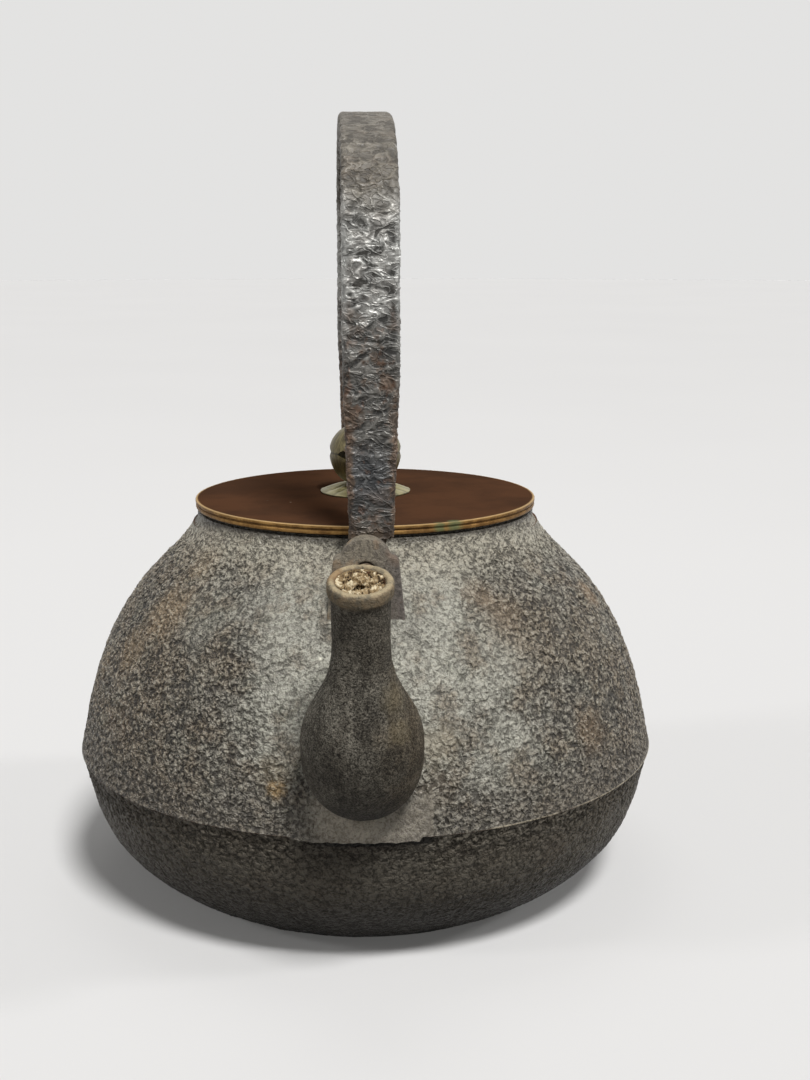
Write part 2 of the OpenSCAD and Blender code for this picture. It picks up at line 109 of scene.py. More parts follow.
def turned(outline, angles):
    """An outline of (radius, height) pairs set up at each angle about the axis."""
    radius, height = np.asarray(outline, float).T
    cos, sin = np.cos(angles)[:, None], np.sin(angles)[:, None]
    return np.stack([radius * cos, radius * sin, height + 0 * cos], axis=2)


def skinned(name, sections, skin=None, around=False, open_ring=False):
    """A closed mesh through sections of equal count, in millimetres.

    around joins the last section to the first; otherwise each end is closed by one face.
    open_ring leaves a section's last point unjoined to its first, where both are on the axis.
    skin says how much of a surface pattern each point of a section takes."""
    sections = np.asarray(sections, float)
    rows, count = sections.shape[:2]
    i = np.arange(rows if around else rows - 1)[:, None]
    j = np.arange(count - 1 if open_ring else count)[None, :]
    after, beside = (i + 1) % rows, (j + 1) % count
    corners = [i * count + j, i * count + beside, after * count + beside, after * count + j]
    faces = np.stack(np.broadcast_arrays(*corners), axis=-1).reshape(-1, 4).tolist()
    if not around:
        faces += [list(range(count)), list(range((rows - 1) * count, rows * count))]
    mesh = bpy.data.meshes.new(name)
    mesh.from_pydata((sections.reshape(-1, 3) * MM).tolist(), [], faces)
    weights = np.ones(count) if skin is None else np.asarray(skin, float)
    layer = mesh.attributes.new("skin", "FLOAT", "POINT")
    layer.data.foreach_set("value", np.tile(weights, rows).astype(np.float32))
    tidy(mesh)
    face_outwards(mesh)
    return placed(name, mesh)


def placed(name, data):
    """A new object of the scene with a mesh, a lamp or a camera."""
    made = bpy.data.objects.new(name, data)
    bpy.context.scene.collection.objects.link(made)
    return made


def face_outwards(mesh):
    """Stores each point's way out of the skin, apart from the faces that only close an end."""
    faces, corners = len(mesh.polygons), len(mesh.loops)
    total, normals = np.empty(faces, int), np.empty(faces * 3)
    area, points = np.empty(faces), np.empty(corners, int)
    mesh.polygons.foreach_get("loop_total", total)
    mesh.polygons.foreach_get("normal", normals)
    mesh.polygons.foreach_get("area", area)
    mesh.loops.foreach_get("vertex_index", points)
    weight = np.where(total <= 4, area, area * 1e-6)[:, None]
    way = np.zeros((len(mesh.vertices), 3))
    np.add.at(way, points, np.repeat(normals.reshape(-1, 3) * weight, total, axis=0))
    way /= np.linalg.norm(way, axis=1)[:, None] + 1e-20
    layer = mesh.attributes.new("outward", "FLOAT_VECTOR", "POINT")
    layer.data.foreach_set("vector", way.astype(np.float32).ravel())


def tidy(mesh, merge=1e-7, sharp=50):
    """Merges doubled points, turns faces outwards and smooths all but the sharp edges."""
    shape = bmesh.new()
    shape.from_mesh(mesh)
    bmesh.ops.remove_doubles(shape, verts=shape.verts, dist=merge)
    bmesh.ops.dissolve_degenerate(shape, edges=shape.edges, dist=merge)
    bmesh.ops.recalc_face_normals(shape, faces=shape.faces)
    for face in shape.faces:
        face.smooth = True
    shape.to_mesh(mesh)
    shape.free()
    mesh.set_sharp_from_angle(angle=math.radians(sharp))


def feed(node, inputs):
    """Links each input of a node that is given as another's output, and sets any other."""
    for key, value in inputs.items():
        if isinstance(value, bpy.types.NodeSocket):
            node.id_data.links.new(value, node.inputs[key])
        else:
            node.inputs[key].default_value = value


def add(tree, kind, inputs=None, **settings):
    """A new node with its inputs and settings."""
    made = tree.nodes.new(kind)
    for key, value in settings.items():
        setattr(made, key, value)
    feed(made, inputs or {})
    return made


def wired(tree, kind, inputs=None, **settings):
    """The first output of a new node with its inputs and settings."""
    return add(tree, kind, inputs, **settings).outputs[0]


def joined(tree, parts):
    """A vector with some of its parts given by their place, the others being 0."""
    return wired(tree, "ShaderNodeCombineXYZ", parts)


def tree_of(*values):
    """The tree of the first node output among some values."""
    return next(value.id_data for value in values if isinstance(value, bpy.types.NodeSocket))


def calc(operation, *values, clamp=False):
    """The result of one sum on numbers."""
    return wired(
        tree_of(*values), "ShaderNodeMath", dict(enumerate(values)), operation=operation,
        use_clamp=clamp)


def vector_calc(operation, *values):
    """The result of one sum on vectors: a length or distance is a number."""
    made = add(tree_of(*values), "ShaderNodeVectorMath", dict(enumerate(values)), operation=operation)
    return made.outputs[1 if operation in ("LENGTH", "DISTANCE", "DOT_PRODUCT") else 0]


def reckon(operation, *values):
    """The result of one sum on numbers, or on vectors if one of the values is a vector."""
    vectors = [isinstance(v, tuple) or getattr(v, "type", "") in ("VECTOR", "RGBA") for v in values]
    return vector_calc(operation, *values) if any(vectors) else calc(operation, *values)


# The signs + - * / < > and abs() work on node outputs: each adds the node that does the sum
for sign, operation in (
    ("add", "ADD"), ("sub", "SUBTRACT"), ("mul", "MULTIPLY"), ("truediv", "DIVIDE"),
    ("lt", "LESS_THAN"), ("gt", "GREATER_THAN"),
):
    ahead = lambda first, second, name=operation: reckon(name, first, second)
    after = lambda second, first, name=operation: reckon(name, first, second)
    setattr(bpy.types.NodeSocket, f"__{sign}__", ahead)
    setattr(bpy.types.NodeSocket, f"__r{sign}__", after)
bpy.types.NodeSocket.__abs__ = lambda value: calc("ABSOLUTE", value)


def step(value, low, high, to_low=0.0, to_high=1.0):
    """A smooth step from to_low, where the value is low, to to_high, where it is high."""
    inputs = {0: value, 1: low, 2: high, 3: to_low, 4: to_high}
    return wired(value.id_data, "ShaderNodeMapRange", inputs, interpolation_type="SMOOTHSTEP")


def noise(where, size, detail=2.0, roughness=0.5, distortion=0.0):
    """Soft random grain with features of about that size in millimetres, from 0 to 1."""
    return wired(where.id_data, "ShaderNodeTexNoise", {
        "Vector": where, "Scale": 1 / (size * MM), "Detail": detail, "Roughness": roughness,
        "Distortion": distortion})


def tone(*parts):
    """A colour as a painter would mix it, from 0 to 255, for a node."""
    parts = [part / 255 for part in parts]
    return (*(p / 12.92 if p <= 0.04045 else ((p + 0.055) / 1.055) ** 2.4 for p in parts), 1.0)


def blend(factor, first, second):
    """The second colour mixed over the first: each is a node output or a painter's tone."""
    tree = tree_of(factor, first, second)
    first, second = (tone(*c) if isinstance(c, tuple) else c for c in (first, second))
    return add(tree, "ShaderNodeMix", {0: factor, 6: first, 7: second}, data_type="RGBA").outputs[2]


def apart(where):
    """The x, y and z of a vector."""
    return add(where.id_data, "ShaderNodeSeparateXYZ", {0: where}).outputs


def spot(where, centre, reach, ragged=0.5):
    """A ragged round spot: 1 at its centre, in millimetres, and 0 past its reach."""
    away = vector_calc("DISTANCE", where, tuple(c * MM for c in centre))
    frayed = noise(where, reach * 0.5, 3, 0.6) * reach * ragged * MM + away
    return step(frayed, reach * (1 + ragged / 2) * MM, reach * (0.3 + ragged / 2) * MM)


def most(first, *others):
    """The greatest of several numbers."""
    for value in others:
        first = calc("MAXIMUM", first, value)
    return first


# Where handling and heat have worn the ridges down to a calm, grey skin, which is also painted paler,
# partly as a painted highlight: centre and reach
worn_and_sheen_places = [
    ((30, -68, 84), 24), ((35, -75, 62), 17), ((17, -55, 103), 15), ((-20, -56, 102), 15),
    ((-40, 60, 84), 26), ((52, 48, 78), 20),
]


def worn(where):
    """How far the skin is worn calm, from 0 to 1: in places, at the shoulder and by the spout. The calm
    skin is also painted paler, partly as a painted highlight and painted light beside the spout.
    """
    across, along, height = apart(where)
    away = noise(where, 9, 4, 0.6) * 0.016 + abs(across + 0.001)
    beside = step(away, 0.044, 0.030) * step(height, 0.054, 0.068, 0, 0.85)
    beside = beside * step(along, -0.03, -0.05)
    spots = most(*[spot(where, c, r) for c, r in worn_and_sheen_places]) * 0.7
    shoulder = step(height, 0.104, 0.110, 0, 0.6)
    return most(spots, beside, shoulder, step(noise(where, 26, 2), 0.52, 0.72, 0, 0.45))


def between(share, first, second):
    """A number part of the way from the first to the second."""
    tree = tree_of(share, first, second)
    return wired(tree, "ShaderNodeMix", {0: share, 2: first, 3: second})


def ramp(value, low, high):
    """0 where the value is low, 1 where it is high, and straight between."""
    return wired(value.id_data, "ShaderNodeMapRange", {0: value, 1: low, 2: high})


def ridges(where, size=1.0):
    """Height of the cast skin, from 0 in a pit to 1 on a crest: lumps packed side by side, over
    winding ridges, which are where a soft random field is at its middle."""
    tree, sway = where.id_data, 3 * size * MM
    swirl = add(tree, "ShaderNodeTexNoise", {
        "Vector": where, "Scale": 1 / (1.9 * size * MM), "Detail": 2.0}).outputs[1]
    bent = where + (swirl - (0.5, 0.5, 0.5)) * (sway, sway, sway)
    packed = add(tree, "ShaderNodeTexVoronoi", {
        "Vector": bent, "Scale": 1 / (1.5 * size * MM), "Randomness": 0.9}).outputs["Distance"]
    field = noise(where + (0.11, 0.07, 0.19), 1.7 * size, 1.5, 0.5, 0.6)
    return between(0.4, ramp(packed * packed, 0.45, 0.0), ramp(abs(field - 0.5), 0.15, 0.0))


pad_middle, pad_half, pad_round, pad_proud, pad_drop, pad_fade = -1.08, 18.5, 3.0, 0.9, 0.8, 0.2


def on_pad(where):
    """1 on the flat pad below the spout, and just under it, 0 elsewhere."""
    across, along, height = apart(where)
    ragged = noise(where, 3, 3) * 0.0016 + height
    away = abs(across - pad_middle * MM)
    inside = step(away, (pad_half + 0.2) * MM, (pad_half - 0.6) * MM) * step(ragged, 0.056, 0.052)
    return inside * step(across, -0.020, -0.008) * (along < 0.0)


def flash_share(where):
    """Where the seam's flash shows: in stretches on the right, and at the rear."""
    across, along, _ = apart(where)
    right = noise(where, 12, 3) * 0.1 + across
    rear = step(along, 0.0, 0.03) * step(noise(where, 9, 3), 0.45, 0.6)
    return most(step(right, 0.085, 0.11), rear)


def cast_height(where):
    """Height of the casting's skin: ridges, lower where it is calm and below the seam, with the
    thin flash that the mould left along the seam."""
    height = apart(where)[2]
    calm = most(worn(where) * 0.8, on_pad(where) * 0.9, step(height, 0.042, 0.030, 0, 0.6))
    skin = between(calm, ridges(where), 0.7) * 0.85 + (noise(where, 7, 2) * 0.8 - 0.3)
    flash = step(abs(height - seam_h * MM), 0.7 * MM, 0.1 * MM)
    return most(skin, flash * flash_share(where))


def started(name, inputs):
    """A new tree that makes a mesh from Geometry, and the outputs of its named inputs."""
    tree = bpy.data.node_groups.new(name, "GeometryNodeTree")
    for label, kind in {"Geometry": "Geometry", **inputs}.items():
        tree.interface.new_socket(label, in_out="INPUT", socket_type="NodeSocket" + kind)
    tree.interface.new_socket("Geometry", in_out="OUTPUT", socket_type="NodeSocketGeometry")
    return tree, add(tree, "NodeGroupInput").outputs


def painted(geometry, paint):
    """The whole geometry, its instances made real, in one material."""
    tree = geometry.id_data
    whole = wired(tree, "GeometryNodeRealizeInstances", {0: geometry})
    return wired(tree, "GeometryNodeSetMaterial", {"Geometry": whole, "Material": paint})


def ended(geometry):
    """The tree of that geometry, which it gives out."""
    tree = geometry.id_data
    tree.links.new(geometry, add(tree, "NodeGroupOutput").inputs[0])
    return tree


def relief_tree(name, relief):
    """A tree that presses a pattern into a skin, down to Depth, and paints the skin and the
    faces behind it. relief(position) is 0 at the deepest and 1 where nothing is moved."""
    tree, given = started(name, {"Depth": "Float", "Skin": "Material", "Behind": "Material"})
    where = wired(tree, "GeometryNodeInputPosition")
    stored = "GeometryNodeInputNamedAttribute"
    outward = wired(tree, stored, {"Name": "outward"}, data_type="FLOAT_VECTOR")
    skin = wired(tree, stored, {"Name": "skin"}, data_type="FLOAT")
    sunk = (relief(where) - 1.0) * given["Depth"] * skin
    offset = wired(tree, "ShaderNodeVectorMath", {0: outward, "Scale": sunk}, operation="SCALE")
    pressed = wired(tree, "GeometryNodeSetPosition", {"Geometry": given["Geometry"], "Offset": offset})
    return ended(wired(tree, "GeometryNodeSetMaterial", {
        "Geometry": painted(pressed, given["Skin"]), "Selection": skin < 0.05,
        "Material": given["Behind"]}))


def grown(piece, tree, sharp=None, **sizes):
    """Gives a piece the mesh that a tree makes of it, with the tree's named inputs set, and its
    edges made sharp from an angle in degrees."""
    modifier = piece.modifiers.new(tree.name, "NODES")
    modifier.node_group = tree
    for socket in tree.interface.items_tree:
        if socket.item_type == "SOCKET" and socket.in_out == "INPUT" and socket.name in sizes:
            modifier[socket.identifier] = sizes[socket.name]
    return applied(piece, sharp)


def applied(piece, sharp=None):
    """Makes the mesh with its modifiers the piece's own, and its edges sharp from an angle."""
    bpy.context.view_layer.update()
    seen = piece.evaluated_get(bpy.context.evaluated_depsgraph_get())
    mesh = bpy.data.meshes.new_from_object(seen)
    piece.modifiers.clear()
    piece.data = mesh
    if sharp:
        mesh.set_sharp_from_angle(angle=math.radians(sharp))
    return piece


def material(name):
    """A new material, and the object's own coordinates in its tree."""
    made = bpy.data.materials.new(name)
    made.use_nodes = True
    return made, add(made.node_tree, "ShaderNodeTexCoord").outputs["Object"]


def finished(made, colour, rough, height, depth, gloss=0.5, metal=0.0):
    """The material with its colour, roughness, gloss, metal and a bump, deep in millimetres."""
    bump = wired(made.node_tree, "ShaderNodeBump", {
        "Height": height, "Strength": 1.0, "Distance": depth * MM})
    feed(made.node_tree.nodes["Principled BSDF"], {
        "Base Color": colour, "Roughness": rough, "Normal": bump, "Specular IOR Level": gloss,
        "Metallic": metal})
    return made


def coated(colour, lit, coats):
    """A colour under coats of others: each has its share, and one tone or a pit's and a ridge's,
    mixed by lit."""
    for share, *tones in coats:
        colour = blend(share, colour, blend(lit, *tones) if len(tones) == 2 else tones[0])
    return colour


# Where the skin is browner: centre and reach
brown_places = [((46, -56, 92), 22), ((62, -44, 84), 16), ((-62, -46, 86), 17), ((-52, -44, 98), 12)]
# Rust and scale on the casting: centre, reach, colour and strength
rust_places = [
    ((-45.8, -33.6, 104.6), 9, (166, 144, 114), 0.55),
    ((-56.8, -39.6, 91.5), 12, (168, 146, 116), 0.6),
    ((-67.4, -37.4, 79.3), 10, (152, 130, 100), 0.5),
    ((-77.4, -21.7, 71.9), 7, (146, 122, 88), 0.45),
    ((-70.1, -46.2, 61.3), 9, (118, 98, 76), 0.4),
    ((30.6, -53.6, 99.6), 7, (150, 130, 106), 0.45),
    ((38.0, -55.1, 94.3), 8, (144, 124, 100), 0.4),
    ((66.6, -19.8, 91.2), 7, (156, 126, 92), 0.55),
    ((62.5, -56.5, 60.0), 9, (138, 114, 86), 0.45),
    ((-23.9, -82.4, 54.0), 3.6, (196, 158, 98), 0.75),
    ((-24.5, -81.5, 58.0), 7, (146, 128, 96), 0.4),
    ((19.0, -80.5, 65.2), 8, (146, 132, 106), 0.5),
    ((18.9, -83.7, 54.0), 8, (122, 106, 84), 0.4),
    ((-52, 58, 88), 11, (156, 132, 100), 0.5),
    ((40, 66, 66), 9, (146, 118, 88), 0.45),
    ((74, 34, 62), 10, (130, 106, 80), 0.45),
    ((51.4, -67.8, 30.2), 8, (122, 92, 66), 0.6),
    ((43, -72, 34), 6, (108, 84, 62), 0.45),
    ((-13.4, -82.1, 24.4), 3, (104, 78, 54), 0.5),
    ((-60, 60, 30), 8, (112, 84, 58), 0.5),
]


def rusted(where, crest, places):
    """Coats of rust in places, stronger on the crests."""
    return [
        (spot(where, centre, reach, 0.9) * (crest * strength * 0.5 + strength * 0.5), rust)
        for centre, reach, rust, strength in places]


def cast_skin(name, below_seam):
    """Grey iron, paler on its worn crests and brown in its pits, with painted glints on the highest
    tips: cooler and paler where it is calm, partly as a painted highlight, paler at the shoulder
    as a painted highlight, browner to the sides, and painted darker to the sides and the rear and
    darker still towards the bottom as painted shade, with painted shade under the lid and under
    the pad's edge, and painted light on the pad under the spout's bulb."""
    made, where = material(name)
    across, along, height = apart(where)
    crest = ridges(where)
    pad = 0.0 if below_seam else on_pad(where)
    calm = most(worn(where), pad, step(height, 0.042, 0.030, 0, 0.8))
    fine = noise(where, 0.45, 3, 0.65)
    lit = (fine - 0.5) * 1.2 + between(calm * 0.45, crest, 0.56)
    # Painted glints: the highest tips of the crests are painted near white.
    painted_glints = step(lit, 0.62, 0.96)
    lit = step(lit, 0.1, 0.8)
    # Painted shade: the skin is painted darker to the sides and the rear, away from the light.
    side = step(noise(where, 34, 3, 0.6) * 0.05 + abs(across - 0.008), 0.05, 0.10)
    side = most(side, step(along, -0.02, 0.03))
    pit = blend(side, (64, 59, 51), (28, 25, 21))
    ridge = blend(side, (156, 153, 142), (120, 112, 98))
    brown = side * 0.08 + noise(where, 10, 4, 0.65)
    places = most(*[spot(where, c, r, 0.8) for c, r in brown_places])
    brown = most(step(brown, 0.46, 0.66, 0, 0.75), places * 0.8)
    cloud = noise(where + (0.2, 0.1, 0.4), 13, 3, 0.6)
    cloud = step(cloud, 0.5, 0.3, 0, 0.4) * (1.0 - pad)
    olive = noise(where + (0.3, 0.2, 0.1), 8, 4, 0.65)
    dark = noise(where + (0.1, 0.4, 0.2), 6, 4, 0.65)
    # Painted shade: the top of the collar, under the lid's overhang, is painted dark.
    shade_under_lid = noise(where, 6, 4, 0.6) * 0.003 + height
    # Painted light: the pad under the spout's bulb is painted paler, where the bulb's shadow falls.
    painted_light_under_bulb = pad * spot(where, (-6, -88, 49), 17, 0.3)
    line = step(abs(height - seam_h * MM), 0.35 * MM, 0.1 * MM) * flash_share(where)
    coats = [
        # Paler where the skin is calm: partly wear, partly a painted highlight and painted light beside
        # the spout.
        (calm * 0.7, (124, 122, 111), (197, 195, 180)),
        (brown, (40, 33, 25), (132, 118, 98)),
        (cloud, (34, 31, 27), (98, 93, 83)),
        (step(olive, 0.52, 0.70, 0, 0.35), (58, 59, 51), (130, 130, 114)),
        (step(dark, 0.54, 0.72, 0, 0.45), (38, 35, 31), (94, 89, 80)),
        *rusted(where, lit, rust_places),
        # Painted glints on the highest tips of the crests.
        (painted_glints * 0.4, (200, 194, 178)),
        # Painted highlight: paler towards the shoulder, where the light from above falls.
        (step(height, 0.098, 0.109, 0, 0.65), (84, 79, 68), (188, 180, 161)),
        (step(shade_under_lid, 0.1132, 0.1155, 0, 0.75), (40, 33, 26)),
        # Painted shade: darker towards the bottom, where the wall turns down away from the light.
        (step(height, 0.062, 0.042, 0, 0.65), (46, 41, 35), (116, 108, 96)),
        (pad * 0.8, (80, 73, 63), (134, 126, 112)),
        (painted_light_under_bulb * 0.8, (156, 146, 130), (212, 202, 184)),
        # More painted shade at the seam and below it, and the bottom painted near black.
        (step(height, 0.045, 0.037, 0, 0.8), (46, 42, 37), (90, 84, 74)),
        (step(height, 0.030, 0.004, 0, 0.85), (16, 14, 12)),
        (line * 0.7, (186, 174, 150)),
    ]
    if below_seam:
        ragged = noise(where, 2, 2) * 0.0014 + height
        shade = on_pad(where) * step(ragged, 0.0404, 0.0411)
        coats.append((shade * 0.9, (12, 10, 8)))
    else:
        coats.append((spot(where, (-12.2, -72.0, 86.2), 0.9, 0.2), (236, 232, 214)))
    colour = coated(blend(lit, pit, ridge), lit, coats)
    rough = step(lit, 0.1, 0.9, 0.6, 0.32)
    crest = between(most(calm * 0.65, pad * 0.85), crest, 0.5)
    gloss = 0.1 if below_seam else 0.5
    return finished(made, colour, rough, fine * 0.35 + crest, 0.9, gloss)


def inner_iron():
    """The inside of the kettle: a dull red-brown film of rust and scale from boiled water."""
    made, where = material("inner_iron")
    cloud = noise(where, 9, 5, 0.65)
    grain = noise(where, 0.9, 4, 0.7)
    colour = blend(step(cloud, 0.35, 0.65), (58, 40, 30), (112, 74, 48))
    colour = blend(step(grain, 0.55, 0.75, 0, 0.6), colour, (150, 132, 108))
    return finished(made, colour, step(grain, 0, 1, 0.75, 0.95), grain, 0.12)


skin_iron = cast_skin("cast_skin", below_seam=False)
inside_iron = inner_iron()


def ear_fillet(x, y):
    """How far the wall swells to meet the foot of an ear, in millimetres."""
    beside = np.maximum(np.abs(x) - 11.4, 0)
    before = np.maximum(np.maximum(np.abs(y) - 66.6, 61 - np.abs(y)), 0)
    return 1.3 * np.clip(1 - np.hypot(beside, before) / 3, 0, 1) ** 2


def wall_sections(angles, rows, inner_rows):
    """The upper wall's rings: its outer line, with the pad below the spout, and its inner line."""
    line = traced(upper_curve, rows)
    share = np.linspace(0, 1, rows)
    inner = left_of(traced(upper_curve, inner_rows), wall_t)
    rings = []
    for angle in angles:
        away = (angle + math.pi / 2) * body_r - pad_middle
        above = np.maximum(0, pad_round - (line[:, 1] - seam_h))
        edge = pad_half - pad_round + np.sqrt(pad_round**2 - above**2)
        right = np.clip((edge - away) / 0.9, 0, 1)
        left = np.clip((away + pad_half + 1.5) / 3.5, 0, 1)
        pad = right * left * np.clip(1 - share / (pad_fade * 1.6), 0, 1)
        fillet = ear_fillet(line[:, 0] * math.cos(angle), line[:, 0] * math.sin(angle))
        outer = left_of(line, -(pad * pad_proud + fillet)[:, None])
        ripple = 0.12 * math.sin(away * 0.9) + 0.08 * math.sin(away * 2.3 + 1)
        outer[0, 1] -= pad[0] * (pad_drop + ripple)
        rings.append(np.concatenate([outer, inner[::-1]]))
    return [turned(ring, np.array([angle]))[0] for ring, angle in zip(rings, angles)]


quarters = (("front", -90), ("right", 0), ("rear", 90), ("left", 180))
columns, upper_rows, inner_rows = 396, 232, 8
fading = np.interp(np.linspace(0, 1, upper_rows), [0, 0.02, 0.95, 1], [0.06, 1, 1, 0.06])
wall_skin = np.concatenate([fading, np.zeros(inner_rows)])
wall_relief, cast_depth, cast_sharp = relief_tree("cast_relief", cast_height), 0.9 * MM, 75
walls = []
for name, middle in quarters:
    angles = np.radians(np.linspace(middle - 45, middle + 45, columns))
    rings = wall_sections(angles, upper_rows, inner_rows)
    quarter = skinned("upper_wall_" + name, rings, wall_skin)
    walls.append(grown(
        quarter, wall_relief, cast_sharp, Depth=cast_depth, Skin=skin_iron, Behind=inside_iron))

# The pouring hole, cut through the front of the wall along the spout's root
bore_r, bore_l, bore_way, bore_middle = 9, 26, (-0.012, -1, 0.1), (-1.0, -82, 60.9)
drill = bpy.data.meshes.new("drill")
shape = bmesh.new()
bmesh.ops.create_cone(
    shape, cap_ends=True, segments=64, radius1=bore_r * MM, radius2=bore_r * MM, depth=bore_l * MM)
turn = Vector(bore_way).to_track_quat("Z", "Y").to_matrix()
bmesh.ops.rotate(shape, verts=shape.verts, matrix=turn)
bmesh.ops.translate(shape, verts=shape.verts, vec=Vector(bore_middle) * MM)
shape.to_mesh(drill)
shape.free()
drill = placed("drill", drill)
cut = walls[0].modifiers.new("pouring hole", "BOOLEAN")
cut.operation, cut.solver, cut.object = "DIFFERENCE", "MANIFOLD", drill
applied(walls[0], cast_sharp)
bpy.data.objects.remove(drill)
for quarter in walls:
    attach(quarter, "kettle")
    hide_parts("kettle_body")


# ---------------------------------------------------------------- lower wall and base
# The lower half of the same casting, below the mould's seam: calmer, and painted darker towards the
# bottom as shade.
# It ends in a flat foot ring, with a shallow recess inside it and the filed stub of the gate.
base_r, foot_w, recess, gate_r, floor_h = 58.0, 9.0, 1.2, 8.0, 4.6
base = np.array([base_r, 0])
lower_curve = [base, base + 30 * aim(62), seam - 16.2 * aim(14.5), seam]
lower_rows, lower_columns = 130, 271
foot = [
    [0, 0], [gate_r - 0.6, 0], [gate_r, 0.5], [gate_r + 0.3, recess],
    [base_r - foot_w - 0.6, recess], [base_r - foot_w, recess - 0.5], [base_r - foot_w + 0.5, 0],
    [base_r - 0.8, 0.0],
]
outside = traced(lower_curve, lower_rows)
outside[0] = [base_r - 0.1, 0.15]
inside = left_of(traced(lower_curve, 14), wall_t)
inside = [p for p in inside[::-1] if p[1] > floor_h]
ring = np.concatenate([foot, outside, inside, [[inside[-1][0] - 3, floor_h], [0, floor_h]]])
lower_paint = np.zeros(len(ring))
lower_paint[: len(foot)] = 0.3
lower_paint[0] = 0.0
lower_paint[len(foot): len(foot) + lower_rows] = np.interp(
    np.linspace(0, 1, lower_rows), [0.97, 1], [1, 0.06])
lower_paint[len(foot)] = 0.3
lower_iron = cast_skin("shaded_lower_skin", below_seam=True)
for name, middle in quarters:
    angles = np.radians(np.linspace(middle - 45, middle + 45, lower_columns))
    quarter = skinned("lower_wall_" + name, turned(ring, angles), lower_paint, open_ring=True)
    grown(quarter, wall_relief, cast_sharp, Depth=cast_depth, Skin=lower_iron, Behind=inside_iron)
    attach(quarter, "kettle")
    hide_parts("kettle_body")


# ---------------------------------------------------------------- collar round the mouth
# The smooth neck of the casting that the lid sits on, turned true at its top, with a low ring
# inside it that carries the lid.
collar_r, collar_top, mouth_r, ring_r, ring_top = 50.9, 114.2, 46.0, 49.6, 114.8
collar_line = [
    [52.1, 110.2], [51.3, 110.9], [50.95, 111.5], [collar_r, collar_top - 0.6],
    [collar_r - 0.25, collar_top - 0.15], [collar_r - 0.7, collar_top], [ring_r, collar_top],
    [ring_r, ring_top - 0.15], [ring_r - 0.2, ring_top], [mouth_r + 0.5, ring_top],
    [mouth_r, ring_top - 0.5], [mouth_r, 108.6], [50.4, 108.6],
]
collar = skinned("collar", turned(collar_line, all_round(256)), around=True)
collar.data.set_sharp_from_angle(angle=math.radians(35))
collar.data.materials.append(skin_iron)
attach(collar, "kettle")
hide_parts("kettle_body")


# ---------------------------------------------------------------- spout
# A gourd-shaped spout with a slender neck and a thick lip, cast on to the front of the kettle.
# Its skin is smoother and darker than the wall's, and the lip is worn pale by pouring.
root_at, mouth_at, mouth_lean = np.array([78.0, 60.5]), np.array([106.0, 114.5]), 17.6
root_way = np.array([1, math.tan(math.radians(5.7))])
spout_curve = [root_at, root_at + 20 * root_way, mouth_at - 32 * aim(mouth_lean), mouth_at]
bulb_r, bulb_at, neck_r, lip_r, lip_step, spout_wall = 15.7, 0.3, 7.2, 8.2, 0.7, 2.3
out_of_line = math.radians(0.7)
lip_from, lip_to = 0.9698, 0.9771


def spout_radius(share):
    """Outer radius of the spout: a bulb that narrows to a neck, then flares to the lip."""
    share = np.asarray(share, float)
    rising = bulb_r - 2.2 * (1 - np.minimum(share, bulb_at) / bulb_at) ** 2
    falling = np.maximum(share - bulb_at, 0) / 0.345
    bulb = np.where(share < bulb_at, rising, neck_r + (bulb_r - neck_r) * np.exp(-(falling**3.8)))
    flare = (lip_r - lip_step - neck_r) * (np.clip((share - 0.84) / 0.16, 0, 1)) ** 2
    return bulb + flare


def spout_ring(share, radius, lift, angles):
    """A ring of that radius about the spout's middle line, lifted along it."""
    centre = bezier(spout_curve, [share])[0]
    near = bezier(spout_curve, [max(share - 0.001, 0), min(share + 0.001, 1)])
    way = (near[1] - near[0]) / np.linalg.norm(near[1] - near[0])
    out = centre[0] + lift * way[0] - radius * np.sin(angles) * way[1]
    up = centre[1] + lift * way[1] + radius * np.sin(angles) * way[0]
    across, cos, sin = radius * np.cos(angles), math.cos(out_of_line), math.sin(out_of_line)
    return np.stack([across * cos - out * sin, -across * sin - out * cos, up], axis=1)


def fine_relief(where):
    """Height of a fine cast skin, with a few deeper pits."""
    fine = noise(where, 0.9, 3, 0.6, 0.3)
    pits = step(noise(where, 2.6, 2, 0.5), 0.36, 0.44)
    return step(noise(where, 6, 2) * 0.5 + fine * 0.6, 0.2, 0.8) * (pits * 0.4 + 0.6)


# Paler places on the spout, the last of them a painted glint under the bulb: centre, reach, colour and
# strength
spout_pale_places_and_glint = [
    ((5.5, -103, 85), 6, (136, 124, 98), 0.36), ((7.7, -105, 77), 5, (140, 126, 96), 0.32),
    # The last place is a painted glint, a small highlight under the bulb.
    ((-14.2, -95, 72), 4, (92, 80, 60), 0.4), ((-2.3, -106, 55.5), 1.2, (150, 144, 130), 0.8),
]


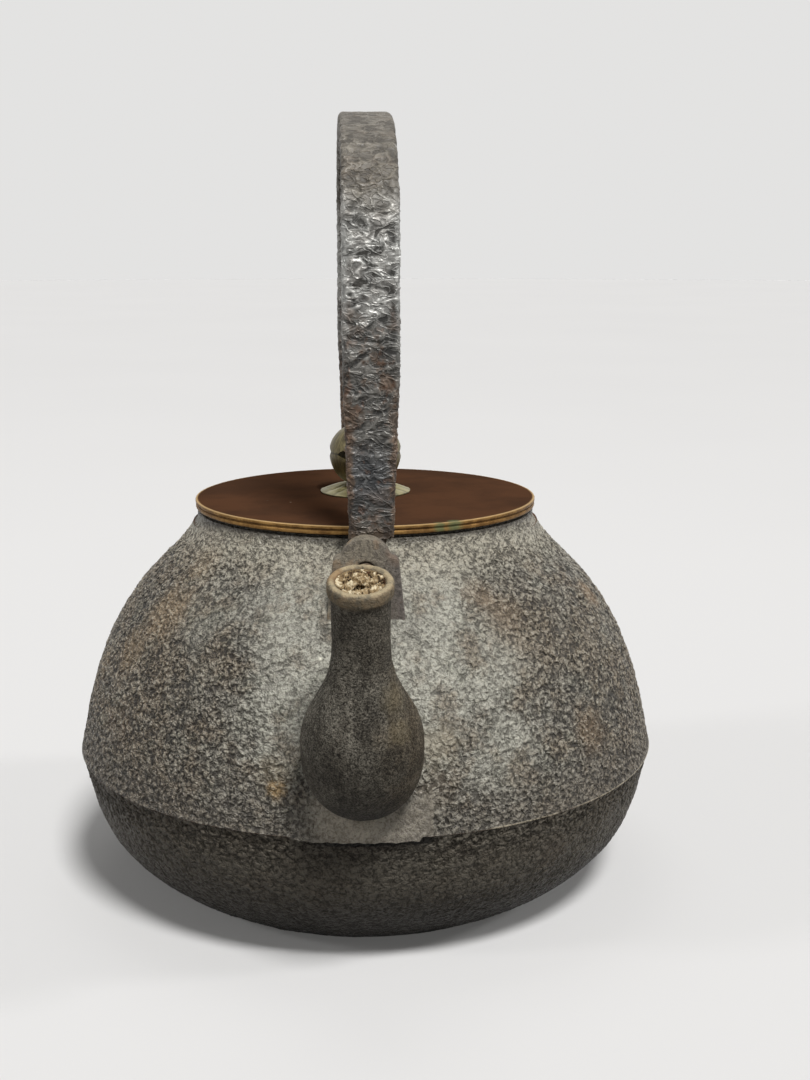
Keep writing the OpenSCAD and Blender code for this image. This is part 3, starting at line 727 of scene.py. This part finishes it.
def spout_iron():
    """Dark brown-grey iron, finely pitted, ochre on the right of the bulb and pale at the lip, with
    painted shade towards the bottom of the bulb and a painted glint under it.
    """
    made, where = material("spout_iron")
    across, _, height = apart(where)
    crest = ridges(where, 0.62)
    speckle = noise(where, 0.4, 3, 0.7)
    cloud = noise(where, 7, 4, 0.6)
    lit = crest * step(cloud, 0.35, 0.65, 0.25, 0.75)
    lit = calc("MULTIPLY_ADD", speckle - 0.46, 2.4, lit, clamp=True)
    streak = step(noise(where * (1.0, 0.3, 0.3), 2.6, 3, 0.6), 0.36, 0.64)
    dark = blend(streak, (31, 28, 24), (48, 45, 40))
    colour = blend(lit, dark, blend(streak, (112, 106, 95), (148, 142, 129)))
    out, up = aim(mouth_lean)
    from_mouth = where - (0, -mouth_at[0] * MM, mouth_at[1] * MM)
    lift = vector_calc("DOT_PRODUCT", from_mouth, (0, -out, up))
    lip = step(cloud * 0.0018 + lift, -0.0030, -0.0008)
    fine_cloud = noise(where, 2.2, 3, 0.65)
    worn_lip = blend(step(fine_cloud, 0.35, 0.6), (112, 104, 88), (146, 128, 102))
    colour = coated(colour, lit, [
        (step(cloud * 0.02 + across, 0.009, 0.023, 0, 0.6), (38, 31, 23), (112, 98, 76)),
        (step(height, 0.090, 0.104, 0, 0.6), (56, 52, 46), (134, 127, 114)),
        # Painted shade: darker towards the bottom of the bulb.
        (step(height, 0.064, 0.048, 0, 0.9), (12, 11, 9), (56, 52, 46)),
        *rusted(where, lit, spout_pale_places_and_glint),
        (lip * 0.8, worn_lip),
        (step(fine_cloud * 0.0012 + lift, 0.0010, 0.0018, 0, 0.75), (186, 170, 138)),
        (spot(where, (-8.0, -103.5, 115.5), 5, 0.9) * 0.6, (148, 116, 80)),
    ])
    rough = step(lit, 0, 1, 0.8, 0.5)
    return finished(made, colour, rough, speckle * 0.6 + crest, 0.2, gloss=0.15)


def scale_crust():
    """Tan scale from years of pouring, pale on its lumps and dark in the gaps."""
    made, where = material("scale_crust")
    lumps = noise(where, 1.7, 3, 0.6, 0.8)
    colour = blend(step(lumps, 0.38, 0.48), (54, 41, 28), (156, 134, 100))
    colour = blend(step(lumps, 0.52, 0.68), colour, (228, 214, 182))
    return finished(made, colour, step(lumps, 0, 1, 0.95, 0.7), lumps, 0.5, gloss=0.2)


spout_turn = all_round(144)
shares = np.concatenate([np.linspace(0.1, lip_from - 0.004, 150), [lip_from]])
rings = [spout_ring(s, float(spout_radius(s)), 0, spout_turn) for s in shares]
lip = ((lip_from + 0.003, 0.25), (lip_to, 0.05), (0.985, 0), (1, 0))
rings += [spout_ring(share, lip_r - eased, 0, spout_turn) for share, eased in lip]
half_wall = spout_wall / 2
rings += [
    spout_ring(1, lip_r - half_wall + half_wall * math.cos(a), half_wall * math.sin(a), spout_turn)
    for a in np.radians(range(18, 180, 18))]
paint = [0] + [1] * (len(rings) - 1)
bore = np.concatenate([np.linspace(1, 0.95, 5), np.linspace(0.92, 0.1, 24)])
rings += [
    spout_ring(s, float(spout_radius(s)) + (lip_step if s > 0.96 else 0) - spout_wall, 0, spout_turn)
    for s in bore]
paint += [0] * len(bore)
# The rings run round the spout, so its section is the line along it: first index along, then round
lengthwise = np.array(rings).transpose(1, 0, 2)
spout = skinned("spout", lengthwise, paint, around=True)
spout_relief = relief_tree("spout_relief", fine_relief)
grown(spout, spout_relief, 60, Depth=0.22 * MM, Skin=spout_iron(), Behind=inside_iron)
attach(spout, "kettle")
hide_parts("spout")

# Crust: a lumpy collar of scale inside the lip, with an uneven dark gap left in the middle
crust_r, crust_rows = lip_r - spout_wall + 0.1, 34


def crust_relief(where):
    """Height of the scale: round lumps with deep gaps."""
    return step(noise(where, 1.7, 3, 0.6, 0.8), 0.34, 0.64)


crust_turn = all_round(120)
lower = [(crust_r, -6.0), (crust_r * 0.5, -6.0), (0.9, -5.6)]
upper = [(0.9 + (crust_r - 0.9) * k, 0.5 - 1.6 * (1 - k) ** 3) for k in np.linspace(0, 1, crust_rows)]
crust_rings = [spout_ring(1, r, z, crust_turn) for r, z in lower + upper]
crust = skinned(
    "scale_crust", np.array(crust_rings).transpose(1, 0, 2),
    [0] * 3 + [1] * (crust_rows - 1) + [0], around=True)
crust_tan = scale_crust()
scale_relief = relief_tree("scale_relief", crust_relief)
grown(crust, scale_relief, Depth=1.8 * MM, Skin=crust_tan, Behind=crust_tan)
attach(crust, "kettle")


# ---------------------------------------------------------------- ears
# Two upright lugs cast on the shoulder, each with an eye for a hook of the handle. Their edges
# are soft from casting, and their skin is smooth, blue-brown and dull.
# Rust on the ears: centre, reach, colour and strength
ear_places = [
    ((8, -66, 113), 4, (118, 92, 70), 0.6), ((-9, -66, 108), 4, (104, 84, 64), 0.6),
    ((7, 66, 112), 5, (118, 88, 64), 0.6),
]


def ear_iron():
    """Grey-brown cast iron, darker and bluer on the right, with rust along the edges."""
    made, where = material("ear_iron")
    cloud = noise(where, 5, 4, 0.6)
    fine = noise(where, 0.5, 4, 0.7)
    crest = ridges(where, 0.8)
    lit = calc("MULTIPLY_ADD", fine - 0.4, 1.2, crest * 0.4, clamp=True)
    cool = step(cloud * 0.012 + apart(where)[0], 0.006, 0.016) * 0.7
    colour = coated(blend(lit, (92, 85, 74), (182, 171, 150)), lit, [
        (step(cloud, 0.54, 0.64, 0, 0.5), (158, 132, 100)),
        (step(cloud, 0.46, 0.36, 0, 0.5), (66, 60, 56)),
        (cool, (60, 55, 56), (122, 113, 110)),
        *rusted(where, lit, ear_places),
    ])
    return finished(made, colour, step(lit, 0, 1, 0.75, 0.45), crest * 0.5 + fine, 0.25)


def softened(name, node, voxel, rounding):
    """A copy of a CAD node as one even skin with softened edges, ready for a relief."""
    piece = placed(name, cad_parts[node].data.copy())
    piece.data.materials.clear()
    tidy(piece.data, 1e-6)
    even = piece.modifiers.new("even skin", "REMESH")
    even.mode, even.voxel_size, even.use_smooth_shade = "VOXEL", voxel * MM, True
    smooth = piece.modifiers.new("soft edges", "SMOOTH")
    smooth.iterations = rounding
    applied(piece)
    layer = piece.data.attributes.new("skin", "FLOAT", "POINT")
    layer.data.foreach_set("value", np.ones(len(piece.data.vertices), np.float32))
    face_outwards(piece.data)
    return piece


lug_iron = ear_iron()
lug_relief = relief_tree("lug_relief", fine_relief)
for node in ("ear_front", "ear_rear"):
    ear = softened(node + "_cast", node, voxel=0.35, rounding=5)
    grown(ear, lug_relief, Depth=0.14 * MM, Skin=lug_iron, Behind=lug_iron)
    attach(ear, "kettle")
    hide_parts(node)


# ---------------------------------------------------------------- lid
# A turned bronze lid with a red-brown patina, worn golden round its rim, where a groove parts
# the edge from a bead below it. The flange under it keeps it on the mouth.
lid_low, lid_high = (corner.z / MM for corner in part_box("lid_plate"))
lid_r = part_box("lid_plate")[1].x / MM
rim_top, under_r, rivet_r = lid_low + 2.5, 42.8, 1.65


# Where there is verdigris, and where pale specks lie: centre and reach
verdigris = [((24.8, -45.2, 116.6), 3.4), ((20.5, -47.3, 116.4), 2.4)]
specks = [
    ((-22.0, -17.5, 118.0), 0.55), ((-25.6, -15.5, 118.0), 0.3), ((-29.0, -14.0, 118.0), 0.3),
    ((-17, -20, 118), 0.25),
]


def lid_bronze():
    """Dark brown patina with faint turning marks, golden wear at the rim, verdigris, specks."""
    made, where = material("lid_bronze")
    height = apart(where)[2]
    radius = vector_calc("LENGTH", where * (1.0, 1.0, 0.0))
    cloud = noise(where, 22, 4, 0.6)
    fine = noise(where, 1.2, 4, 0.7)
    rings = calc("SINE", radius * 9000.0)
    side = step(radius, (lid_r - 0.9) * MM, (lid_r - 0.2) * MM)
    wear = calc("MULTIPLY_ADD", noise(where, 7, 3), 0.6, 0.4, clamp=True)
    green = most(*[spot(where, place, reach, 0.8) for place, reach in verdigris])
    dots = most(*[spot(where, place, reach, 0.2) for place, reach in specks])
    colour = blend(step(cloud, 0.35, 0.65), (68, 48, 36), (82, 56, 40))
    colour = coated(colour, step(noise(where, 3, 4, 0.7), 0.35, 0.65), [
        (step(fine, 0.58, 0.75, 0, 0.25), (104, 72, 50)),
        (rings * 0.03 + 0.03, (120, 86, 60)),
        (side * wear, (116, 86, 48), (164, 128, 76)),
        (side * step(height, (rim_top - 0.35) * MM, rim_top * MM), (190, 158, 108)),
        (green * 0.75, (100, 112, 80)),
        (dots, (196, 176, 160)),
    ])
    rough = cloud * 0.2 + step(side, 0, 1, 0.45, 0.28)
    return finished(made, colour, rough, rings * 0.12 + fine, 0.02, gloss=0.0, metal=side * 0.6)


lid_line = [
    [rivet_r, lid_high - 1.6], [under_r, lid_high - 1.6], [under_r, lid_low], [lid_r - 0.5, lid_low],
    [lid_r - 0.22, lid_low + 0.1], [lid_r - 0.1, lid_low + 0.3], [lid_r - 0.1, lid_low + 0.85],
    [lid_r - 0.22, lid_low + 1.05], [lid_r - 0.45, lid_low + 1.15], [lid_r - 0.5, lid_low + 1.3],
    [lid_r - 0.45, lid_low + 1.45], [lid_r - 0.1, lid_low + 1.6], [lid_r, lid_low + 1.75],
    [lid_r, rim_top - 0.3], [lid_r - 0.1, rim_top - 0.08], [lid_r - 0.35, rim_top],
    [lid_r - 4, rim_top + 0.12], [lid_r - 12, rim_top + 0.4], [25.6, lid_high - 0.1],
    [15.2, lid_high], [rivet_r, lid_high],
]
lid = skinned("lid", turned(lid_line, all_round(384)), around=True)
lid.data.set_sharp_from_angle(angle=math.radians(32))
bronze = lid_bronze()
lid.data.materials.append(bronze)
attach(lid, "lid")
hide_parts("lid_plate")
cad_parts["lid_flange"].data.materials.clear()
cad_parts["lid_flange"].data.materials.append(bronze)


# ---------------------------------------------------------------- seat of the knob
# A thin domed rosette of pale brass under the knob, fluted like the petals of a chrysanthemum.
seat_low, seat_high = (corner.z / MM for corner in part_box("knob_seat"))
seat_r, flat_r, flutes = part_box("knob_seat")[1].x / MM, 4.2, 16


def pale_brass():
    """Worn pale brass, grey-green in its hollows."""
    made, where = material("pale_brass")
    cloud = noise(where, 6, 3, 0.6)
    fine = noise(where, 0.4, 3, 0.7)
    across, along, _ = apart(where)
    angle = calc("ARCTAN2", along, across) * flutes / 2
    hollow = step(abs(calc("SINE", angle)), 0.6, 0.1, 0, 0.6)
    colour = blend(step(cloud, 0.35, 0.65), (126, 119, 84), (170, 162, 120))
    colour = blend(step(fine, 0.55, 0.75, 0, 0.25), colour, (92, 84, 58))
    colour = blend(hollow, colour, (84, 78, 52))
    return finished(made, colour, step(fine, 0, 1, 0.32, 0.5), fine, 0.03, metal=0.45)


def fluting_tree():
    """A tree that presses Flutes hollows, evenly round the axis, into a domed seat."""
    tree, given = started("fluting", {
        "Flutes": "Float", "Depth": "Float", "Flat radius": "Float", "Outer radius": "Float",
        "Underside": "Float", "Material": "Material"})
    where = wired(tree, "GeometryNodeInputPosition")
    across, along, height = apart(where)
    angle = calc("ARCTAN2", along, across)
    crest = abs(calc("SINE", angle * given["Flutes"] / 2.0))
    radius = vector_calc("LENGTH", where * (1.0, 1.0, 0.0))
    out = step(radius, given["Flat radius"], given["Outer radius"] * 0.7)
    rim = step(radius, given["Outer radius"] * 0.75, given["Outer radius"])
    out = out * (rim * -0.8 + 1.0)
    sunk = (crest - 1.0) * given["Depth"] * out * (height > given["Underside"])
    moved = wired(tree, "GeometryNodeSetPosition", {
        "Geometry": given["Geometry"], "Offset": joined(tree, {2: sunk})})
    return ended(painted(moved, given["Material"]))


dome = np.linspace(0, 1, 26)[:, None] * [[flat_r - seat_r, 0]] + [[seat_r, 0]]
dome[:, 1] = seat_low + 0.5 + 2.3 * np.cos(np.pi / 2 * (dome[:, 0] - flat_r) / (seat_r - flat_r))
under = [[rivet_r, seat_low], [seat_r - 0.5, seat_low], [seat_r - 0.1, seat_low + 0.15]]
seat_line = np.concatenate([under, dome, [[rivet_r, seat_high]]])
seat = skinned("knob_rosette", turned(seat_line, all_round(384)), around=True)
brass = pale_brass()
grown(
    seat, fluting_tree(), 40, Flutes=float(flutes), Depth=0.6 * MM, Material=brass, **{
        "Flat radius": flat_r * MM, "Outer radius": (seat_r - 1) * MM,
        "Underside": (seat_low + 0.3) * MM})
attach(seat, "lid")
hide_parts("knob_seat")
for node in ("knob_rivet", "rivet_washer"):
    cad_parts[node].data.materials.clear()
    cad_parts[node].data.materials.append(brass)


# ---------------------------------------------------------------- pierced knob
# Two thin brass bowls joined at a crease into a hollow ball, which stays cool over the steam.
# Six eye-shaped openings are pierced through the crease, and a rivet inside holds the ball down.
ball_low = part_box("knob_lower_shell")[0].z / MM
ball_r, ball_flat, ball_crease, ball_h, ball_wall = 10.9, 3.8, 9.6, 18.3, 0.9
eye_count, eye_l, eye_h = 6, 7.2, 3.0


def knob_brass():
    """Olive-gold brass brushed from pole to pole, dark along the crease."""
    made, where = material("knob_brass")
    across, along, height = apart(where)
    angle = calc("ARCTAN2", along, across)
    brushed = joined(made.node_tree, {0: angle * 12 * MM, 1: height * 0.12})
    strokes = noise(brushed, 0.5, 4, 0.7)
    cloud = noise(where, 5, 3, 0.6)
    crease = step(abs(height - (ball_low + ball_crease) * MM), 0.45 * MM, 0.1 * MM)
    colour = blend(step(strokes, 0.35, 0.65), (66, 58, 36), (146, 134, 92))
    colour = blend(step(cloud, 0.45, 0.7, 0, 0.5), colour, (80, 70, 48))
    colour = blend(crease * 0.6, colour, (24, 19, 12))
    rough = step(strokes, 0, 1, 0.3, 0.45)
    return finished(made, colour, rough, strokes, 0.03, gloss=0.4, metal=0.3)


def piercing_tree():
    """A tree that pierces eye-shaped openings, evenly round the axis, through a hollow ball."""
    tree, given = started("piercing", {
        "Openings": "Int", "Half height": "Float", "Arc radius": "Float", "Level": "Float",
        "Reach": "Float", "Material": "Material"})
    length = given["Reach"] * 0.45
    arc = wired(tree, "GeometryNodeMeshCylinder", {
        "Vertices": 96, "Radius": given["Arc radius"], "Depth": length})
    shift = given["Arc radius"] - given["Half height"]
    arcs = []
    for sign in (1.0, -1.0):
        at = joined(tree, {1: shift * sign})
        arcs.append(wired(tree, "GeometryNodeTransform", {"Geometry": arc, "Translation": at}))
    eye = add(tree, "GeometryNodeMeshBoolean", operation="INTERSECT", solver="EXACT")
    for one in arcs:
        tree.links.new(one, eye.inputs["Mesh"])
    # The cutter lies along X, with its eye upright, and stops short of the axis and of its fellows
    spoke = wired(tree, "GeometryNodeTransform", {
        "Geometry": eye.outputs[0], "Rotation": (math.pi / 2, 0, math.pi / 2),
        "Translation": joined(tree, {0: given["Reach"] * 0.775})})
    ring = wired(tree, "GeometryNodeMeshCircle", {"Vertices": given["Openings"], "Radius": 0.001})
    angle = wired(tree, "GeometryNodeInputIndex") * 2 * math.pi / given["Openings"]
    turned_by = joined(tree, {2: angle})
    at_level = wired(tree, "GeometryNodeSetPosition", {
        "Geometry": ring, "Position": joined(tree, {2: given["Level"]})})
    cutters = wired(tree, "GeometryNodeInstanceOnPoints", {
        "Points": at_level, "Instance": spoke, "Rotation": turned_by})
    cutters = wired(tree, "GeometryNodeRealizeInstances", {0: cutters})
    pierced = add(
        tree, "GeometryNodeMeshBoolean", {"Mesh 1": given["Geometry"]}, operation="DIFFERENCE",
        solver="EXACT")
    tree.links.new(cutters, pierced.inputs["Mesh 2"])
    return ended(painted(pierced.outputs[0], given["Material"]))


def lower_bowl(inward):
    """The lower bowl's line, from its flat to its crease, moved inward."""
    a = np.linspace(0, np.pi / 2, 22)
    return np.stack([
        ball_flat + (ball_r - ball_flat - inward) * np.sin(a),
        ball_low + ball_crease - (ball_crease - inward) * np.cos(a)], axis=1)


def upper_bowl(inward):
    """The upper bowl's line, from its crease to its top, moved inward."""
    a = np.linspace(0, np.pi / 2, 26)
    return np.stack([
        (ball_r - inward) * np.cos(a) ** 0.92,
        ball_low + ball_crease + (ball_h - ball_crease - inward) * np.sin(a)], axis=1)


knob_gold = knob_brass()
piercing = piercing_tree()
arc_radius = (eye_l**2 / 4 + eye_h**2 / 4) / eye_h
lower_line = np.concatenate([
    [[rivet_r, ball_low]], lower_bowl(0), lower_bowl(ball_wall)[::-1], [[rivet_r, ball_low + ball_wall]]])
upper_line = np.concatenate([upper_bowl(0)[::-1], upper_bowl(ball_wall)])
upper_line[0, 0] = upper_line[-1, 0] = 0
for node, line in (("knob_lower_shell", lower_line), ("knob_upper_shell", upper_line)):
    bowl = skinned(
        node.replace("shell", "bowl"), turned(line, all_round(144)), around=True,
        open_ring=node == "knob_upper_shell")
    grown(
        bowl, piercing, Openings=eye_count, Material=knob_gold, Level=(ball_low + ball_crease) * MM,
        **{"Half height": eye_h / 2 * MM, "Arc radius": arc_radius * MM, "Reach": 14 * MM})
    tidy(bowl.data, 1e-6, 40)
    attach(bowl, "lid")
    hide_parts(node)


# ---------------------------------------------------------------- strap of the handle
# A hollow handle folded from thin iron sheet and wrinkled in the forge, so that its skin looks
# like crushed foil. Below the crown it is painted silver, partly a painted highlight where the legs face
# the light, and it is rusty towards its ragged ends.
leg_in, end_h, leg_out, leg_top, handle_top = 58.0, 115.4, 63.5, 188.0, 230.0
strap_w, strap_t, strap_end_w, strap_end_t, edge_r, sheet_t = 15.4, 5.6, 12.4, 5.0, 1.7, 1.3
strap_skew, leg_l, crown_l, fray_l = math.radians(1.5), 73, 82, 4
crown_h = handle_top - strap_t / 2
leg_foot = np.array([leg_in, end_h])
leg_curve = [leg_foot, leg_foot + 24 * aim(6), [leg_out, leg_top - 24], [leg_out, leg_top]]
crown_curve = [[leg_out, leg_top], [leg_out, leg_top + 28], [38, crown_h], [0, crown_h]]


def folds(where):
    """Wrinkles of the sheet, from 0 to 1: thin winding creases, mostly level, over broad flakes."""
    drawn = where * (0.65, 1.0, 1.0)
    creases = []
    for shift, size, width, share in ((0.0, 3.2, 0.06, 1.0), (0.2, 2.1, 0.06, 0.6)):
        field = noise(drawn + (shift, 0, shift), size, 1.0, 0.5, 0.8)
        creases.append(ramp(abs(field - 0.5), width, 0.0) * share)
    flakes = step(noise(drawn, 3.6, 2.0, 0.5, 0.8), 0.38, 0.60)
    return between(0.45, most(*creases), flakes)


def strap_relief(where):
    """The strap's wrinkles, shallower over the crown."""
    eased = step(apart(where)[2], 0.204, 0.222, 0, 0.45)
    return between(eased, folds(where), 0.6)


def strap_iron():
    """Crushed iron sheet: brown over the crown, silver below it, which is partly a painted highlight
    where the legs face the light, pale along its edges, partly wear and partly a painted highlight, slate
    and rust at the ends.
    """
    made, where = material("strap_iron")
    across, along, height = apart(where)
    fold = folds(where)
    cloud = noise(where, 8, 4, 0.6)
    fine = noise(where, 0.5, 4, 0.7)
    level = cloud * 0.022 + height
    crown = step(level, 0.205, 0.222)
    low = step(level, 0.194, 0.172)
    crest = calc("MULTIPLY_ADD", fine - 0.5, 0.5, fold, clamp=True)
    rusty = step(noise(where, 6, 4, 0.65), 0.48, 0.60) * (low * 0.65 + 0.2)
    aside = along * strap_skew + across
    rim = noise(where, 4, 4, 0.65) * 0.007 + abs(aside)
    rim = step(rim, 0.0075, 0.0095) * step(level, 0.176, 0.150)
    middle = spot(where, (-1, -62, 133), 13, 0.9) * (1.0 - rim)
    deep = step(noise(where, 3.1, 3, 0.6), 0.58, 0.66) * low
    ends = step(cloud * 0.006 + height, 0.1245, 0.1185)
    # Pale edges along the silver legs: partly wear, partly a painted highlight where the edges catch the
    # light.
    edge_wear_and_highlight = step(abs(aside), 0.0058, 0.0068) * (1.0 - most(low, crown))
    # Silver on the crests below the crown: partly the metal, partly a painted highlight where the legs
    # face the light.
    colour = coated(blend(crest, (58, 57, 54), (206, 205, 200)), crest, [
        (low, (40, 39, 37), (130, 127, 121)),
        (crown, (64, 59, 51), (132, 125, 113)),
        (rusty, (50, 40, 32), (118, 97, 80)),
        (rim * 0.75, (54, 42, 33), (134, 106, 82)),
        (middle * 0.8, (44, 46, 49), (112, 113, 114)),
        (deep * 0.35, (112, 78, 56)),
        (ends * 0.8, (60, 48, 38), (122, 104, 84)),
        (edge_wear_and_highlight * 0.5, (186, 186, 182)),
    ])
    metal = (1.0 - most(rusty, crown, low * 0.6)) * 0.5
    rough = calc("MULTIPLY_ADD", rusty, 0.3, step(crest, 0, 1, 0.55, 0.34), clamp=True)
    return finished(made, colour, rough, fine * 0.15 + fold, 0.5, metal=metal)


def strap_section(width, thick, radius, sides):
    """The strap's section: a rectangle with round edges, as offsets across and outwards."""
    corner = np.linspace(0, np.pi / 2, 6)
    points = []
    for quarter in range(4):
        a = corner + quarter * np.pi / 2
        sx = 1 if quarter in (0, 3) else -1
        sy = 1 if quarter < 2 else -1
        x, y = sx * (width / 2 - radius), sy * (thick / 2 - radius)
        points.append(np.stack([x + radius * np.cos(a), y + radius * np.sin(a)], axis=1))
    loop = np.concatenate(points + [points[0][:1]])
    return evenly(loop, sides + 1)[:-1]


def strap_rings(inward, sides, spacing, ragged):
    """Rings along the strap, from the front leg's end over the crown to the rear leg's end."""
    leg = traced(leg_curve, int(leg_l / spacing), 300)
    crown = traced(crown_curve, int(crown_l / spacing), 300)
    path = np.concatenate([leg, crown[1:]])
    rings = []
    for side in (-1, 1):
        half = []
        for point, ahead, run in zip(path, way_along(path), run_along(path)):
            full = min(1, 1.6 * run / leg_l)
            width = strap_end_w + (strap_w - strap_end_w) * full - 2 * inward
            thick = strap_end_t + (strap_t - strap_end_t) * full - 2 * inward
            section = strap_section(width, thick, max(edge_r - inward, 0.4), sides)
            fray = ragged * max(0, 1 - run / fray_l)
            x, above = section.T
            lift = fray * (0.5 + 0.5 * np.sin(x * 1.7 + side) * np.cos(x * 0.6 + above))
            y = side * (point[0] + above * ahead[1] + lift * ahead[0])
            up = point[1] - above * ahead[0] + lift * ahead[1]
            cos, sin = math.cos(strap_skew), math.sin(strap_skew)
            half.append(np.stack([x * cos - y * sin, x * sin + y * cos, up], axis=1))
        rings.append(half)
    return rings[0] + rings[1][-2::-1]


sides, fine_rows, coarse_rows, ragged_by = 96, 0.44, 4.0, 1.1
outer_rings = strap_rings(0, sides, fine_rows, ragged_by)
inner_rings = strap_rings(sheet_t, sides, coarse_rows, ragged_by)
strap_paint = [1.0] * len(outer_rings) + [0.0] * len(inner_rings)
strap = skinned(
    "strap", np.array(outer_rings + inner_rings[::-1]).transpose(1, 0, 2), strap_paint, around=True)
forged = strap_iron()
wrinkles = relief_tree("strap_relief", strap_relief)
grown(strap, wrinkles, 70, Depth=0.5 * MM, Skin=forged, Behind=inside_iron)
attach(strap, "handle")
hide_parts("handle_strap")


# ---------------------------------------------------------------- hooks of the handle
# A forged hook is driven into each end of the strap. Its pin passes through the ear from inside,
# and its end is turned down outside.
for node in ("handle_hook_front", "handle_hook_rear"):
    hook = softened(node.replace("handle_", "forged_"), node, voxel=0.32, rounding=3)
    grown(hook, lug_relief, Depth=0.12 * MM, Skin=forged, Behind=forged)
    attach(hook, "handle")
    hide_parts(node)


# ---------------------------------------------------------------- floor, light and camera
# A pale studio floor, with the main lamp high at the front, a weaker one at either side, and a
# soft box overhead.
background_rays = ("Is Camera Ray", "Is Glossy Ray", "Is Transmission Ray")
floor_glow, room_light, backdrop = 0.08, 0.10, 0.77


def studio_floor():
    """A wide pale floor, a little uneven in tone."""
    made, where = material("pale_floor")
    path = add(made.node_tree, "ShaderNodeLightPath").outputs
    seen = most(*[path[ray] for ray in background_rays])
    pale = blend(noise(where, 400, 2), (213, 212, 211), (217, 216, 215))
    feed(made.node_tree.nodes["Principled BSDF"], {
        "Base Color": blend(seen, (120, 119, 117), pale), "Roughness": 0.9,
        "Specular IOR Level": 0.0, "Emission Color": tone(244, 243, 240),
        "Emission Strength": seen * floor_glow})
    mesh = bpy.data.meshes.new("floor")
    shape = bmesh.new()
    bmesh.ops.create_circle(shape, cap_ends=True, segments=96, radius=6)
    shape.to_mesh(mesh)
    shape.free()
    mesh.materials.append(made)
    placed("floor", mesh)


def soft_box(name, place, target, size, power):
    """A square soft box that faces a target."""
    lamp = bpy.data.lights.new(name, "AREA")
    lamp.shape, lamp.size, lamp.energy = "SQUARE", size, power
    box = placed(name, lamp)
    box.location = place
    box.rotation_euler = (Vector(target) - Vector(place)).to_track_quat("-Z", "Y").to_euler()


def far_lamp(name, way, power, spread):
    """A distant lamp in that direction, as wide in the sky as spread, in degrees."""
    lamp = bpy.data.lights.new(name, "SUN")
    lamp.energy, lamp.angle = power, math.radians(spread)
    placed(name, lamp).rotation_euler = Vector(way).to_track_quat("Z", "Y").to_euler()


studio_floor()
middle = (0, 0, 0.08)
far_lamp("key", (0.20, -0.52, 0.83), 3.0, 14)
far_lamp("left", (-0.85, -0.35, 0.55), 0.35, 8)
far_lamp("right", (0.90, -0.10, 0.55), 0.5, 8)
soft_box("top", (-0.05, 0.25, 1.15), middle, 0.6, 1.2)

world = bpy.data.worlds.new("studio")
world.use_nodes = True
bpy.context.scene.world = world
sky = world.node_tree
path = add(sky, "ShaderNodeLightPath").outputs
seen = most(*[path[ray] for ray in background_rays])
feed(sky.nodes["Background"], {
    "Strength": between(seen, room_light, backdrop), "Color": (1.0, 0.995, 0.985, 1.0)})

eye = bpy.data.cameras.new("camera")
eye.lens, eye.sensor_width = 50.0, 36.0
camera = placed("camera", eye)
camera.location = (0.0, -0.4521, 0.1962)
camera.rotation_euler = (math.radians(90 - 11.62), 0.0, math.radians(-1.53))
bpy.context.scene.camera = camera
bpy.context.scene.view_settings.view_transform = "Standard"
